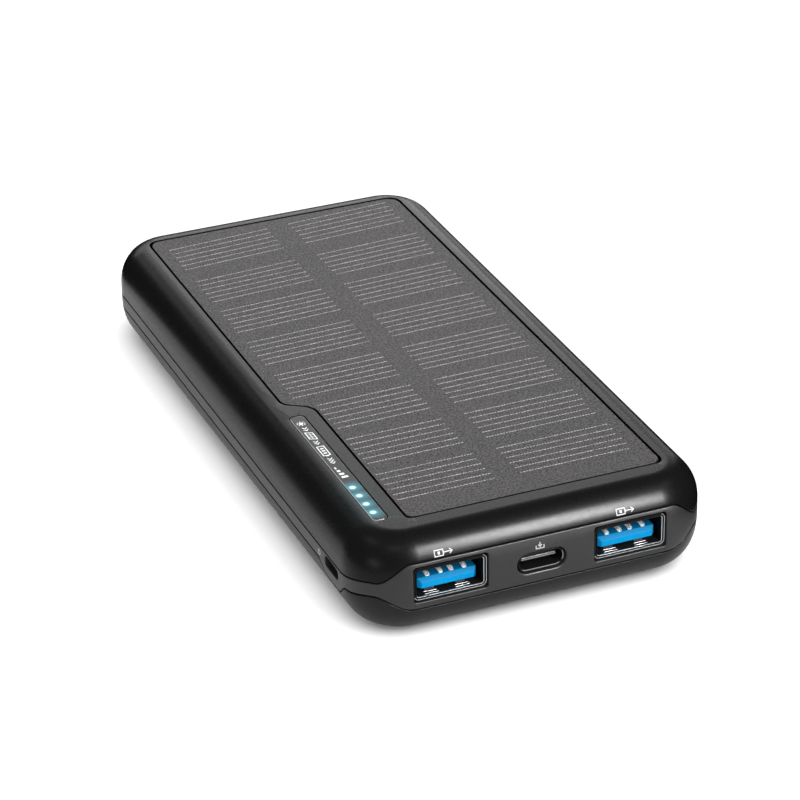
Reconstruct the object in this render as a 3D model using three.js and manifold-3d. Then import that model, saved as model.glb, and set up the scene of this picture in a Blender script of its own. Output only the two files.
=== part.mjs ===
// Solar power bank: a three-piece plastic housing with a solar panel set flush in its top,
// a status window with four charge lights, two USB-A outputs, one USB-C input, a side power
// button, and the board, cells and wiring that it holds inside.
// Millimetres, +Z up. The origin is the centre of the base; the ports face -Y.

import * as THREE from 'three';
import { mergeVertices } from 'three/addons/utils/BufferGeometryUtils.js';
import Module from 'manifold-3d';

const wasm = await Module();
wasm.setup();

// ---------------------------------------------------------------- driving dimensions

const width = 68;
const length = 139;
const height = 19.7;
const cornerRadius = 10.75;

// The side of the body curves in towards the top and the base as a quarter superellipse.
const topRim = { inset: 5.8, rise: 7.2, power: 2.0 };
const baseRim = { inset: 8.7, rise: 9.6, power: 2.4 };

// Seams between the top shell, the middle band and the bottom shell.
const seamGap = 0.3;
const upperSeam = { front: 15.4, corner: 11.6, side: 10.5 };
const lowerSeam = { front: 6.3, corner: 8.9, side: 7.75 };
const seamBow = { start: 24.9, end: 31.7, settled: 40.6 };
// On the button's side the lower seam drops in a shallow tray under the button.
const buttonTray = { start: 38.3, full: 42.8, leave: 47.4, end: 51.2, floor: 5.15, lead: 8.0 };

const shellWall = 1.8;
const bandWall = 1.5;
const lip = { thickness: 0.8, reach: 1.2, root: 1.6 };
// The face of each shell at its seam is made this deep before the cavity is cut.
const seamLedge = 4;

// Solar panel: the outline is the middle of the gap between the panel and its frame.
const panel = { left: -27.15, right: 27.15, front: -60.95, back: 62.75, notch: -22.2 };
const notchStep = { back: -13.1, front: -16.3 };
const panelGap = 0.36;
const panelPocketDepth = 2.1;
const bedThickness = 1.1;
const panelThickness = 1.6;
const panelRecess = 0.05;
const adhesiveThickness = 0.2;

const statusWindow = { x: -26.5, y: -38.9, width: 3.04, length: 41.2, radius: 1.1, depth: 1.2 };
const chargeLight = { x: -26.85, firstY: -47.0, pitch: 3.17, count: 4 };

// Ports: their common centre line stands slightly to the left of the body's middle.
const portRow = { x: -0.5, pitch: 17.2, recess: 0.5 };
const usbA = {
  cutWidth: 14.1, cutHeight: 7.0, z: 11.12, flangeWidth: 13.7, flangeHeight: 6.6, flange: 0.35,
  outerWidth: 13.1, outerHeight: 5.72, metal: 0.3, depth: 14.0,
  tongueWidth: 11.1, tongueThickness: 1.84, tongueRecess: 1.1, tongueBottom: 0.85,
};
const contactOffsets = [-3.5, -1.0, 1.0, 3.5];
const usbC = {
  cutWidth: 9.4, cutHeight: 4.1, z: 10.5, outerWidth: 8.94, outerHeight: 3.5, metal: 0.3, depth: 7.4,
  tongueWidth: 6.7, tongueThickness: 0.7, tongueRecess: 1.2,
};

const button = {
  y: -54.2, z: 8.9, cutLength: 6.2, cutHeight: 2.2, radius: 0.9, clearance: 0.22, recess: 0.9,
};
const buttonFlange = { length: 7.2, height: 2.6, thickness: 0.7 };

const board = { width: 58, front: -65.8, back: -42.5, bottom: 14.1, thickness: 1.2, radius: 6 };
const boardScrew = { x: 20, y: -45.5, headRadius: 1.7, headHeight: 1.1, shankRadius: 0.8, length: 3.2 };
const bossRadius = 2.3;

const cell = { width: 56, length: 98, thickness: 6.1, front: -37, radius: 3, bottom: 2.1 };
const cellPadThickness = 0.3;
const clear = 0.1;

const boardTop = board.bottom + board.thickness;
const bedTop = height - panelPocketDepth;
const cavityTop = bedTop - bedThickness;
const portFace = -length / 2 + portRow.recess;

// ---------------------------------------------------------------- materials

function finish(hex, roughness, metalness = 0, extra = {}) {
  return () => new THREE.MeshStandardMaterial({ color: hex, roughness, metalness, ...extra });
}

const finishes = {
  blackShell: finish(0x1f1f20, 0.42),
  band: finish(0x2c2c2d, 0.5),
  buttonCap: finish(0x141415, 0.35),
  solarLaminate: finish(0x454345, 0.45),
  tape: finish(0x22262a, 0.8),
  windowLens: finish(0x3a3f44, 0.2, 0, { transparent: true, opacity: 0.8 }),
  lightGuide: finish(0xdfe9ee, 0.4),
  chargeLamp: finish(0x9fefff, 0.4, 0, { emissive: 0x5fe0ff }),
  circuitBoard: finish(0x14532d, 0.45),
  stainless: finish(0xb9bcc0, 0.25, 1),
  bluePlastic: finish(0x1577c9, 0.4),
  goldContact: finish(0xd8d2c0, 0.3, 1),
  blackPlastic: finish(0x111214, 0.45),
  ferrite: finish(0x3b3c40, 0.6),
  pouch: finish(0xb7bbc0, 0.35, 0.6),
  foam: finish(0x2b2d2f, 0.95),
  redWire: finish(0xb01919, 0.45),
  blackWire: finish(0x161616, 0.45),
};

// ---------------------------------------------------------------- solids and geometry helpers

function solidFromArrays(positions, triangles) {
  return new wasm.Manifold(new wasm.Mesh({
    numProp: 3,
    vertProperties: new Float32Array(positions),
    triVerts: new Uint32Array(triangles),
  }));
}

function solidFrom(geometry) {
  const bare = geometry.clone();
  bare.deleteAttribute('normal');
  bare.deleteAttribute('uv');
  const merged = mergeVertices(bare, 1e-4);
  return solidFromArrays(merged.attributes.position.array, merged.index.array);
}

function geometryFrom(solid) {
  const mesh = solid.getMesh();
  const geometry = new THREE.BufferGeometry();
  geometry.setAttribute('position', new THREE.BufferAttribute(new Float32Array(mesh.vertProperties), 3));
  geometry.setIndex(new THREE.BufferAttribute(new Uint32Array(mesh.triVerts), 1));
  geometry.computeVertexNormals();
  return geometry;
}

function roundedRectangle(centreX, centreY, w, h, radius) {
  const r = Math.min(radius, w / 2 - 0.01, h / 2 - 0.01);
  const right = centreX + w / 2 - r;
  const left = centreX - w / 2 + r;
  const top = centreY + h / 2 - r;
  const bottom = centreY - h / 2 + r;
  const shape = new THREE.Shape();
  shape.absarc(right, top, r, 0, Math.PI / 2);
  shape.absarc(left, top, r, Math.PI / 2, Math.PI);
  shape.absarc(left, bottom, r, Math.PI, Math.PI * 1.5);
  shape.absarc(right, bottom, r, Math.PI * 1.5, Math.PI * 2);
  shape.closePath();
  return shape;
}

const axisX = new THREE.Vector3(1, 0, 0);
const axisY = new THREE.Vector3(0, 1, 0);
const axisZ = new THREE.Vector3(0, 0, 1);

function extrude(shape, depth, segments) {
  return new THREE.ExtrudeGeometry(shape, { depth, bevelEnabled: false, curveSegments: segments });
}

// A plate with its outline in X and Y, from z = low to z = high.
function plateZ(shape, low, high, segments = 4) {
  return extrude(shape, high - low, segments).translate(0, 0, low);
}

// A bar with its section in X and Z, from y = low to y = high.
function barY(shape, low, high, segments = 4) {
  const geometry = extrude(shape, high - low, segments);
  geometry.applyMatrix4(new THREE.Matrix4().makeBasis(axisX, axisZ, axisY.clone().negate()));
  return geometry.translate(0, high, 0);
}

// A bar with its section in Y and Z, from x = low to x = high.
function barX(shape, low, high, segments = 4) {
  const geometry = extrude(shape, high - low, segments);
  geometry.applyMatrix4(new THREE.Matrix4().makeBasis(axisY, axisZ, axisX));
  return geometry.translate(low, 0, 0);
}

function block(x, y, z, sizeX, sizeY, sizeZ) {
  return new THREE.BoxGeometry(sizeX, sizeY, sizeZ).translate(x, y, z);
}

// An upright cylinder from z = low to z = high.
function post(x, y, low, high, radius, sides = 16) {
  const geometry = new THREE.CylinderGeometry(radius, radius, high - low, sides);
  return geometry.rotateX(Math.PI / 2).translate(x, y, (low + high) / 2);
}

// ---------------------------------------------------------------- the body's outline and profile

const cornerStart = width / 2 - cornerRadius;
const cornerArc = cornerRadius * Math.PI / 2;
const sideStart = cornerStart + cornerArc;
const sideEnd = sideStart + length - 2 * cornerRadius;
const backStart = sideEnd + cornerArc;

// A place on the outline, by its distance along it from the middle of the front:
// positive to the right and negative to the left.
function placeAt(distance) {
  const side = distance < 0 ? -1 : 1;
  const along = Math.abs(distance);
  const centreX = width / 2 - cornerRadius;
  const centreY = length / 2 - cornerRadius;
  let x = along;
  let y = -length / 2;
  let normalX = 0;
  let normalY = -1;
  if (along > backStart) {
    x = cornerStart - (along - backStart);
    y = length / 2;
    normalY = 1;
  } else if (along > sideEnd) {
    const angle = (along - sideEnd) / cornerRadius;
    normalX = Math.cos(angle);
    normalY = Math.sin(angle);
    x = centreX + cornerRadius * normalX;
    y = centreY + cornerRadius * normalY;
  } else if (along > sideStart) {
    x = width / 2;
    y = -centreY + along - sideStart;
    normalX = 1;
    normalY = 0;
  } else if (along > cornerStart) {
    const angle = (along - cornerStart) / cornerRadius;
    normalX = Math.sin(angle);
    normalY = -Math.cos(angle);
    x = centreX + cornerRadius * normalX;
    y = -centreY + cornerRadius * normalY;
  }
  return { x: x * side, y, normalX: normalX * side, normalY, distance };
}

function steps(from, to, count) {
  return Array.from({ length: count }, (_, index) => from + (to - from) * (index + 1) / count);
}

function sideDistances(extra) {
  const front = [cornerStart / 2, ...steps(cornerStart / 2, cornerStart, 1)];
  const corner = steps(cornerStart, sideStart, 11);
  const backCorner = steps(sideEnd, backStart, 6);
  return [...front, ...corner, ...extra, sideEnd, ...backCorner];
}

const trayDistances = [
  ...steps(sideStart, buttonTray.full, 2),
  buttonTray.leave,
  ...steps(buttonTray.leave, buttonTray.end, 4),
];
const backMiddle = backStart + cornerStart;
const places = [
  0,
  ...sideDistances([]),
  backMiddle,
  ...sideDistances(trayDistances).reverse().map((distance) => -distance),
].map(placeAt);

function smooth(from, to, value) {
  const t = THREE.MathUtils.clamp((value - from) / (to - from), 0, 1);
  return t * t * (3 - 2 * t);
}

function upperSeamHeight(place) {
  const along = Math.abs(place.distance);
  const bow = smooth(seamBow.start, seamBow.end, along);
  const settle = smooth(seamBow.end, seamBow.settled, along);
  const { front, corner, side } = upperSeam;
  return front + (corner - front) * bow + (side - corner) * settle;
}

function lowerSeamHeight(place) {
  const along = Math.abs(place.distance);
  const bow = smooth(seamBow.start, seamBow.end, along);
  const { front, corner, side } = lowerSeam;
  const risen = front + (corner - front) * bow;
  if (place.distance > 0 || along > buttonTray.end) {
    return risen + (side - corner) * smooth(seamBow.end, seamBow.settled, along);
  }
  const { start, full, leave, end, floor, lead } = buttonTray;
  const led = risen + (lead - corner) * smooth(seamBow.end, start, along);
  const sunk = led + (floor - lead) * smooth(start, full, along);
  return sunk + (side - floor) * smooth(leave, end, along);
}

function insetAt(z) {
  const rim = z > height / 2 ? topRim : baseRim;
  const reach = z > height / 2 ? z - (height - rim.rise) : rim.rise - z;
  const t = THREE.MathUtils.clamp(reach / rim.rise, 0, 1);
  return rim.inset * (1 - (1 - t ** rim.power) ** (1 / rim.power));
}

function pointInside(place, z, depth) {
  const offset = insetAt(z) + depth;
  return [place.x - place.normalX * offset, place.y - place.normalY * offset, z];
}

// A solid from rings stacked upwards. Each level gives, for a place, its height and depth
// under the body's surface. The two ends are closed by fans to a middle point.
function stackedRings(levels, lowMiddle, highMiddle) {
  const positions = [];
  const triangles = [];
  const count = places.length;
  for (const level of levels) {
    for (const place of places) {
      const [z, depth] = level(place);
      positions.push(...pointInside(place, z, depth));
    }
  }
  const lowIndex = levels.length * count;
  const highIndex = lowIndex + 1;
  positions.push(0, 0, lowMiddle, 0, 0, highMiddle);
  for (let i = 0; i < count; i += 1) {
    const next = (i + 1) % count;
    for (let k = 0; k + 1 < levels.length; k += 1) {
      const low = k * count;
      const high = low + count;
      triangles.push(low + i, low + next, high + next, low + i, high + next, high + i);
    }
    const last = (levels.length - 1) * count;
    triangles.push(lowIndex, next, i, highIndex, last + i, last + next);
  }
  return solidFromArrays(positions, triangles);
}

// A closed ring round the body. The section gives, for a place, points [height, depth] that
// run up the outer side and down the inner side.
function sweptRing(section) {
  const positions = [];
  const triangles = [];
  const count = places.length;
  const sectionSize = section(places[0]).length;
  for (const place of places) {
    for (const [z, depth] of section(place)) {
      positions.push(...pointInside(place, z, depth));
    }
  }
  for (let i = 0; i < count; i += 1) {
    const here = i * sectionSize;
    const next = ((i + 1) % count) * sectionSize;
    for (let j = 0; j < sectionSize; j += 1) {
      const up = (j + 1) % sectionSize;
      triangles.push(here + j, next + j, next + up, here + j, next + up, here + up);
    }
  }
  return solidFromArrays(positions, triangles);
}

// ---------------------------------------------------------------- housing

function panelOutline(grow) {
  const { left, right, front, back, notch } = panel;
  const diagonalShift = 0.54 * grow;
  const corners = [
    [left - grow, back + grow, 2.6],
    [left - grow, notchStep.back - diagonalShift, 2.6],
    [notch - grow, notchStep.front - diagonalShift, 4.0],
    [notch - grow, front - grow, 1.5],
    [right + grow, front - grow, 2.1],
    [right + grow, back + grow, 3.0],
  ].map(([x, y, radius]) => ({ at: new THREE.Vector2(x, y), radius }));
  const shape = new THREE.Shape();
  corners.forEach(({ at, radius }, index) => {
    const before = corners[(index + corners.length - 1) % corners.length].at;
    const after = corners[(index + 1) % corners.length].at;
    const towardsBefore = before.clone().sub(at).normalize();
    const towardsAfter = after.clone().sub(at).normalize();
    const halfTurn = towardsBefore.angleTo(towardsAfter) / 2;
    const reach = radius / Math.tan(halfTurn);
    const enter = at.clone().addScaledVector(towardsBefore, reach);
    const leave = at.clone().addScaledVector(towardsAfter, reach);
    if (index === 0) {
      shape.moveTo(enter.x, enter.y);
    } else {
      shape.lineTo(enter.x, enter.y);
    }
    shape.quadraticCurveTo(at.x, at.y, leave.x, leave.y);
  });
  shape.closePath();
  return shape;
}

function statusWindowShape(shrink) {
  const { x, y, width: w, length: l, radius } = statusWindow;
  return roundedRectangle(x, y, w - 2 * shrink, l - 2 * shrink, radius);
}

const lightsMiddleY = chargeLight.firstY - chargeLight.pitch * (chargeLight.count - 1) / 2;
const lightSlot = { width: 1.9, length: chargeLight.pitch * chargeLight.count + 0.6 };
const wireSlot = { x: 10, y: -48, width: 6, length: 3 };

function shellLip(seamHeight, direction) {
  const near = shellWall - 0.3;
  return sweptRing((place) => {
    const seam = seamHeight(place);
    const face = seam + direction * seamGap / 2;
    const tip = seam - direction * lip.reach;
    const root = face + direction * lip.root;
    const section = [
      [tip, shellWall],
      [face, shellWall],
      [face, near],
      [root, near],
      [root, shellWall + lip.thickness],
      [tip, shellWall + lip.thickness],
    ];
    return direction > 0 ? section : section.reverse();
  });
}

function topShell() {
  const rings = 7;
  const seamFace = (place) => upperSeamHeight(place) + seamGap / 2;
  const outerLevels = Array.from({ length: rings }, (_, index) => (place) => {
    const seam = seamFace(place);
    const rise = Math.sin(index / (rings - 1) * Math.PI / 2);
    return [seam + (height - seam) * rise, 0];
  });
  outerLevels.unshift((place) => [seamFace(place), seamLedge]);
  const cavityLevels = [
    () => [4, shellWall],
    () => [height - topRim.rise, shellWall],
    () => [cavityTop - 1.8, shellWall],
    () => [cavityTop, shellWall],
  ];
  const cavity = stackedRings(cavityLevels, 4, cavityTop);
  const frontNotch = solidFrom(block(0, -length / 2, 11, 54, 14, 8.55));
  const buttonNotch = solidFrom(block(-width / 2, button.y, 8, 8, 11, 8));
  const lipRing = shellLip(upperSeamHeight, 1).subtract(frontNotch).subtract(buttonNotch);
  let shell = stackedRings(outerLevels, upperSeam.side, height).subtract(cavity).add(lipRing);
  for (const side of [-1, 1]) {
    const boss = post(side * boardScrew.x, boardScrew.y, boardTop + clear, cavityTop + 0.2, bossRadius);
    shell = shell.add(solidFrom(boss));
  }
  const cuts = [
    plateZ(panelOutline(panelGap / 2), bedTop, height + 1, 5),
    plateZ(statusWindowShape(0), height - statusWindow.depth, height + 1, 5),
    block(chargeLight.x, lightsMiddleY, cavityTop + 1, lightSlot.width, lightSlot.length, 5),
    block(wireSlot.x, wireSlot.y, cavityTop, wireSlot.width, wireSlot.length, 3),
    ...[-1, 1].map((side) => post(side * boardScrew.x, boardScrew.y, 13, bedTop - 0.3, 1.0)),
  ];
  for (const cut of cuts) {
    shell = shell.subtract(solidFrom(cut));
  }
  return geometryFrom(shell);
}

function portCentre(index) {
  return portRow.x + (index - 1) * portRow.pitch;
}

function middleBand() {
  const band = sweptRing((place) => {
    const low = lowerSeamHeight(place) + seamGap / 2;
    const high = upperSeamHeight(place) - seamGap / 2;
    const heights = [0, 1 / 3, 2 / 3, 1].map((t) => low + (high - low) * t);
    const outer = heights.map((z) => [z, 0]);
    const inner = heights.map((z) => [z, bandWall]).reverse();
    return [...outer, ...inner];
  });
  const usbACut = (index) => barY(
    roundedRectangle(portCentre(index), usbA.z, usbA.cutWidth, usbA.cutHeight, 0.6),
    -length / 2 - 1, -length / 2 + 6, 3);
  const usbCCut = barY(
    roundedRectangle(portRow.x, usbC.z, usbC.cutWidth, usbC.cutHeight, usbC.cutHeight),
    -length / 2 - 1, -length / 2 + 6, 6);
  const buttonCut = barX(
    roundedRectangle(button.y, button.z, button.cutLength, button.cutHeight, button.radius),
    -width / 2 - 1, -width / 2 + 6, 4);
  const cuts = [usbACut(0), usbACut(2), usbCCut, buttonCut];
  return geometryFrom(cuts.reduce((solid, cut) => solid.subtract(solidFrom(cut)), band));
}

function bottomShell() {
  const rings = 8;
  const seamFace = (place) => lowerSeamHeight(place) - seamGap / 2;
  const outerLevels = Array.from({ length: rings }, (_, index) => (place) => (
    [seamFace(place) * (1 - Math.cos(index / (rings - 1) * Math.PI / 2)), 0]));
  outerLevels.push((place) => [seamFace(place), seamLedge]);
  const floor = 1.6;
  const cavityLevels = [
    () => [floor, shellWall],
    () => [floor + 1.4, shellWall],
    () => [floor + 3.6, shellWall],
    () => [12, shellWall],
  ];
  const cavity = stackedRings(cavityLevels, floor, 12);
  const frontNotch = solidFrom(block(0, -length / 2, 8.5 + 1.75, 54, 14, 8));
  const lipRing = shellLip(lowerSeamHeight, -1).subtract(frontNotch);
  const shell = stackedRings(outerLevels, 0, lowerSeam.side).subtract(cavity).add(lipRing);
  return geometryFrom(shell);
}

// ---------------------------------------------------------------- panel, window and lights

function solarPanel() {
  const top = height - panelRecess;
  return plateZ(panelOutline(-panelGap / 2), top - panelThickness, top, 5);
}

function panelAdhesive() {
  const opening = block(wireSlot.x, wireSlot.y, bedTop, wireSlot.width, wireSlot.length, 4);
  const low = bedTop + clear / 2;
  const sheet = solidFrom(plateZ(panelOutline(-2.5), low, low + adhesiveThickness, 3));
  return geometryFrom(sheet.subtract(solidFrom(opening)));
}

function windowLens() {
  const low = height - statusWindow.depth + clear;
  return plateZ(statusWindowShape(0.12), low, height - 0.02, 5);
}

function lightGuide() {
  const low = boardTop + 1.15;
  const high = height - statusWindow.depth;
  const bar = roundedRectangle(chargeLight.x, lightsMiddleY, lightSlot.width - 0.3, lightSlot.length - 0.3, 0.4);
  return plateZ(bar, low, high, 3);
}

function chargeLightLamp(index) {
  const y = chargeLight.firstY - chargeLight.pitch * index;
  return plateZ(roundedRectangle(chargeLight.x, y, 0.8, 1.6, 0.15), boardTop + 0.05, boardTop + 0.75, 2);
}

// ---------------------------------------------------------------- ports

function usbASocketShell(index) {
  const x = portCentre(index);
  const innerWidth = usbA.outerWidth - 2 * usbA.metal;
  const innerHeight = usbA.outerHeight - 2 * usbA.metal;
  const back = portFace + usbA.depth;
  const tube = barY(roundedRectangle(x, usbA.z, usbA.outerWidth, usbA.outerHeight, 0.5), portFace, back, 2);
  const flange = barY(
    roundedRectangle(x, usbA.z, usbA.flangeWidth, usbA.flangeHeight, 0.6),
    portFace, portFace + usbA.flange, 2);
  const bore = barY(roundedRectangle(x, usbA.z, innerWidth, innerHeight, 0.3), portFace - 1, back + 1, 2);
  return geometryFrom(solidFrom(tube).add(solidFrom(flange)).subtract(solidFrom(bore)));
}

function tongueBottom() {
  return usbA.z - usbA.outerHeight / 2 + usbA.metal + usbA.tongueBottom;
}

function usbATongue(index) {
  const x = portCentre(index);
  const tongueFront = portFace + usbA.tongueRecess;
  const back = portFace + usbA.depth - 0.2;
  const blockDepth = 4.2;
  const bottom = tongueBottom();
  const blade = block(
    x, (tongueFront + back - 1) / 2, bottom + usbA.tongueThickness / 2,
    usbA.tongueWidth, back - 1 - tongueFront, usbA.tongueThickness);
  const root = block(
    x, back - blockDepth / 2, usbA.z,
    usbA.outerWidth - 2 * usbA.metal - 0.2, blockDepth, usbA.outerHeight - 2 * usbA.metal - 0.2);
  return geometryFrom(solidFrom(blade).add(solidFrom(root)));
}

function usbAContact(index, offset) {
  const low = portFace + usbA.tongueRecess + 0.8;
  const high = portFace + usbA.depth - 4.7;
  const top = tongueBottom() + usbA.tongueThickness;
  return block(portCentre(index) + offset, (low + high) / 2, top + 0.15, 1.0, high - low, 0.2);
}

function usbCSocketShell() {
  const { outerWidth, outerHeight, metal, depth, z } = usbC;
  const back = portFace + depth;
  const tube = barY(roundedRectangle(portRow.x, z, outerWidth, outerHeight, outerHeight), portFace, back, 5);
  const bore = barY(
    roundedRectangle(portRow.x, z, outerWidth - 2 * metal, outerHeight - 2 * metal, outerHeight),
    portFace - 1, back + 1, 5);
  let shell = solidFrom(tube).subtract(solidFrom(bore));
  const legTop = board.bottom - clear;
  const legLow = z + 0.3;
  for (const side of [-1, 1]) {
    const leg = block(
      portRow.x + side * (outerWidth / 2 + 0.05), back - 2.2, (legTop + legLow) / 2,
      0.4, 1.8, legTop - legLow);
    shell = shell.add(solidFrom(leg));
  }
  return geometryFrom(shell);
}

function usbCTongue() {
  const front = portFace + usbC.tongueRecess;
  const back = portFace + usbC.depth - 0.2;
  const blade = block(
    portRow.x, (front + back - 0.5) / 2, usbC.z,
    usbC.tongueWidth, back - 0.5 - front, usbC.tongueThickness);
  const root = barY(
    roundedRectangle(
      portRow.x, usbC.z,
      usbC.outerWidth - 2 * usbC.metal - 0.2, usbC.outerHeight - 2 * usbC.metal - 0.2, usbC.outerHeight),
    back - 1.6, back, 4);
  return geometryFrom(solidFrom(blade).add(solidFrom(root)));
}

// ---------------------------------------------------------------- button and switch

const bandInnerX = -width / 2 + bandWall;
const switchFaceX = -29.0;

function powerButton() {
  const { y, z, cutLength, cutHeight, radius, clearance, recess } = button;
  const capFront = -width / 2 + recess;
  const flangeFront = bandInnerX + 0.25;
  const flangeBack = flangeFront + buttonFlange.thickness;
  const cap = barX(
    roundedRectangle(y, z, cutLength - 2 * clearance, cutHeight - 2 * clearance, radius - clearance),
    capFront, flangeFront + 0.1, 4);
  const flange = barX(
    roundedRectangle(y, z, buttonFlange.length, buttonFlange.height, 0.5), flangeFront, flangeBack, 3);
  const stem = barX(roundedRectangle(y, z, 1.6, 1.6, 0.3), flangeBack - 0.1, flangeBack + 0.9, 2);
  return geometryFrom(solidFrom(cap).add(solidFrom(flange)).add(solidFrom(stem)));
}

function switchPlunger() {
  return barX(roundedRectangle(button.y, button.z, 1.3, 1.3, 0.3), switchFaceX - 1.3, switchFaceX + 0.6, 2);
}

function tactileSwitch() {
  const top = board.bottom - clear;
  const bottom = button.z - 1.9;
  const body = block(switchFaceX + 1.75, button.y, (top + bottom) / 2, 3.5, 6.0, top - bottom);
  const well = barX(roundedRectangle(button.y, button.z, 2.0, 2.0, 0.4), switchFaceX - 1, switchFaceX + 1.6, 2);
  return geometryFrom(solidFrom(body).subtract(solidFrom(well)));
}

// ---------------------------------------------------------------- board, cells and wiring

function mainBoard() {
  const middleY = (board.front + board.back) / 2;
  const outline = roundedRectangle(0, middleY, board.width, board.back - board.front, board.radius);
  let plate = solidFrom(plateZ(outline, board.bottom, boardTop, 4));
  for (const side of [-1, 1]) {
    const hole = post(side * boardScrew.x, boardScrew.y, board.bottom - 1, boardTop + 1, 1.1);
    plate = plate.subtract(solidFrom(hole));
  }
  return geometryFrom(plate);
}

function boardScrewSolid(side) {
  const x = side * boardScrew.x;
  const headTop = board.bottom - clear;
  const { y, headRadius, headHeight, shankRadius, length: reach } = boardScrew;
  const head = post(x, y, headTop - headHeight, headTop, headRadius);
  const shank = post(x, y, headTop - 0.2, headTop + reach, shankRadius, 12);
  const driveSlots = [0, Math.PI / 2].map((turn) => (
    new THREE.BoxGeometry(1.9, 0.4, 0.8).rotateZ(turn).translate(x, y, headTop - headHeight)));
  const whole = solidFrom(head).add(solidFrom(shank));
  return geometryFrom(driveSlots.reduce((solid, slot) => solid.subtract(solidFrom(slot)), whole));
}

function pouchCell(bottom) {
  const middleY = cell.front + cell.length / 2;
  const outline = roundedRectangle(0, middleY, cell.width, cell.length, cell.radius);
  return plateZ(outline, bottom, bottom + cell.thickness, 4);
}

const upperCellBottom = cell.bottom + cell.thickness + cellPadThickness + 2 * clear;

function cellPad(bottom, thickness) {
  const middleY = cell.front + cell.length / 2;
  return block(0, middleY, bottom + thickness / 2, cell.width - 10, cell.length - 14, thickness);
}

function protectionBoard() {
  return block(0, cell.front - 1.2, 8.6, 44, 1.0, 9.0);
}

function wire(points, radius) {
  const curve = new THREE.CatmullRomCurve3(points.map(([x, y, z]) => new THREE.Vector3(x, y, z)));
  const section = new THREE.Shape();
  section.absarc(0, 0, radius, 0, Math.PI * 2);
  return new THREE.ExtrudeGeometry(section, { steps: 8, curveSegments: 8, bevelEnabled: false, extrudePath: curve });
}

function batteryLead(x) {
  const start = cell.front - 1.2 - 0.5 - 0.2;
  return wire([
    [x, start, 9.5],
    [x, start - 1.6, 9.9],
    [x, start - 3.2, 11.6],
    [x, start - 4.4, 12.8],
    [x, start - 4.6, board.bottom - 0.4],
  ], 0.75);
}

function solarLead(x) {
  const panelBack = height - panelRecess - panelThickness;
  return wire([
    [x, wireSlot.y, panelBack - 0.2],
    [x, wireSlot.y + 0.1, (panelBack + boardTop) / 2],
    [x, wireSlot.y, boardTop + 0.2],
  ], 0.5);
}

function boardChip(x, y, size) {
  return block(x, y, boardTop + 0.05 + 0.45, size, size, 0.9);
}

function inductor(x) {
  const size = 7;
  const drop = 4;
  return plateZ(roundedRectangle(x, -49.5, size, size, 1), board.bottom - clear - drop, board.bottom - clear, 3);
}

function capacitor(x) {
  return post(x, -51, board.bottom - clear - 5.4, board.bottom - clear, 2.5);
}

// ---------------------------------------------------------------- assembly

const charger = new THREE.Group();

function place(name, geometry, makeMaterial) {
  const mesh = new THREE.Mesh(geometry, makeMaterial());
  mesh.name = name;
  charger.add(mesh);
}

place('top_shell', topShell(), finishes.blackShell);
place('middle_band', middleBand(), finishes.band);
place('bottom_shell', bottomShell(), finishes.blackShell);

place('solar_panel', solarPanel(), finishes.solarLaminate);
place('panel_adhesive', panelAdhesive(), finishes.tape);
place('status_window', windowLens(), finishes.windowLens);
place('light_guide', lightGuide(), finishes.lightGuide);
for (let index = 0; index < chargeLight.count; index += 1) {
  place(`charge_light_${index + 1}`, chargeLightLamp(index), finishes.chargeLamp);
}

for (const [sideName, index] of [['left', 0], ['right', 2]]) {
  place(`usb_a_shell_${sideName}`, usbASocketShell(index), finishes.stainless);
  place(`usb_a_tongue_${sideName}`, usbATongue(index), finishes.bluePlastic);
  contactOffsets.forEach((offset, number) => {
    place(`usb_a_contact_${sideName}_${number + 1}`, usbAContact(index, offset), finishes.goldContact);
  });
}
place('usb_c_shell', usbCSocketShell(), finishes.stainless);
place('usb_c_tongue', usbCTongue(), finishes.blackPlastic);

place('power_button', powerButton(), finishes.buttonCap);
place('switch_plunger', switchPlunger(), finishes.blackPlastic);
place('tactile_switch', tactileSwitch(), finishes.stainless);

place('main_board', mainBoard(), finishes.circuitBoard);
place('board_screw_left', boardScrewSolid(-1), finishes.stainless);
place('board_screw_right', boardScrewSolid(1), finishes.stainless);
place('power_controller_chip', boardChip(-2, -52, 5), finishes.blackPlastic);
place('charge_controller_chip', boardChip(-12, -52, 4), finishes.blackPlastic);
place('boost_inductor_left', inductor(-9), finishes.ferrite);
place('boost_inductor_right', inductor(8), finishes.ferrite);
place('output_capacitor_left', capacitor(-19), finishes.blackPlastic);
place('output_capacitor_right', capacitor(18), finishes.blackPlastic);

place('battery_cell_lower', pouchCell(cell.bottom), finishes.pouch);
place('battery_cell_upper', pouchCell(upperCellBottom), finishes.pouch);
place('base_foam_pad', cellPad(1.7, 0.3), finishes.foam);
place('cell_adhesive_pad', cellPad(cell.bottom + cell.thickness + clear, cellPadThickness), finishes.tape);
place('protection_board', protectionBoard(), finishes.circuitBoard);
place('battery_lead_positive', batteryLead(-3), finishes.redWire);
place('battery_lead_negative', batteryLead(0), finishes.blackWire);
place('solar_lead_positive', solarLead(wireSlot.x - 1.2), finishes.redWire);
place('solar_lead_negative', solarLead(wireSlot.x + 1.2), finishes.blackWire);

export default charger;
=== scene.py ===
import math
import random

import bmesh
import bpy
import numpy as np
from mathutils import Matrix, Vector
from mathutils.geometry import delaunay_2d_cdt


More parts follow.
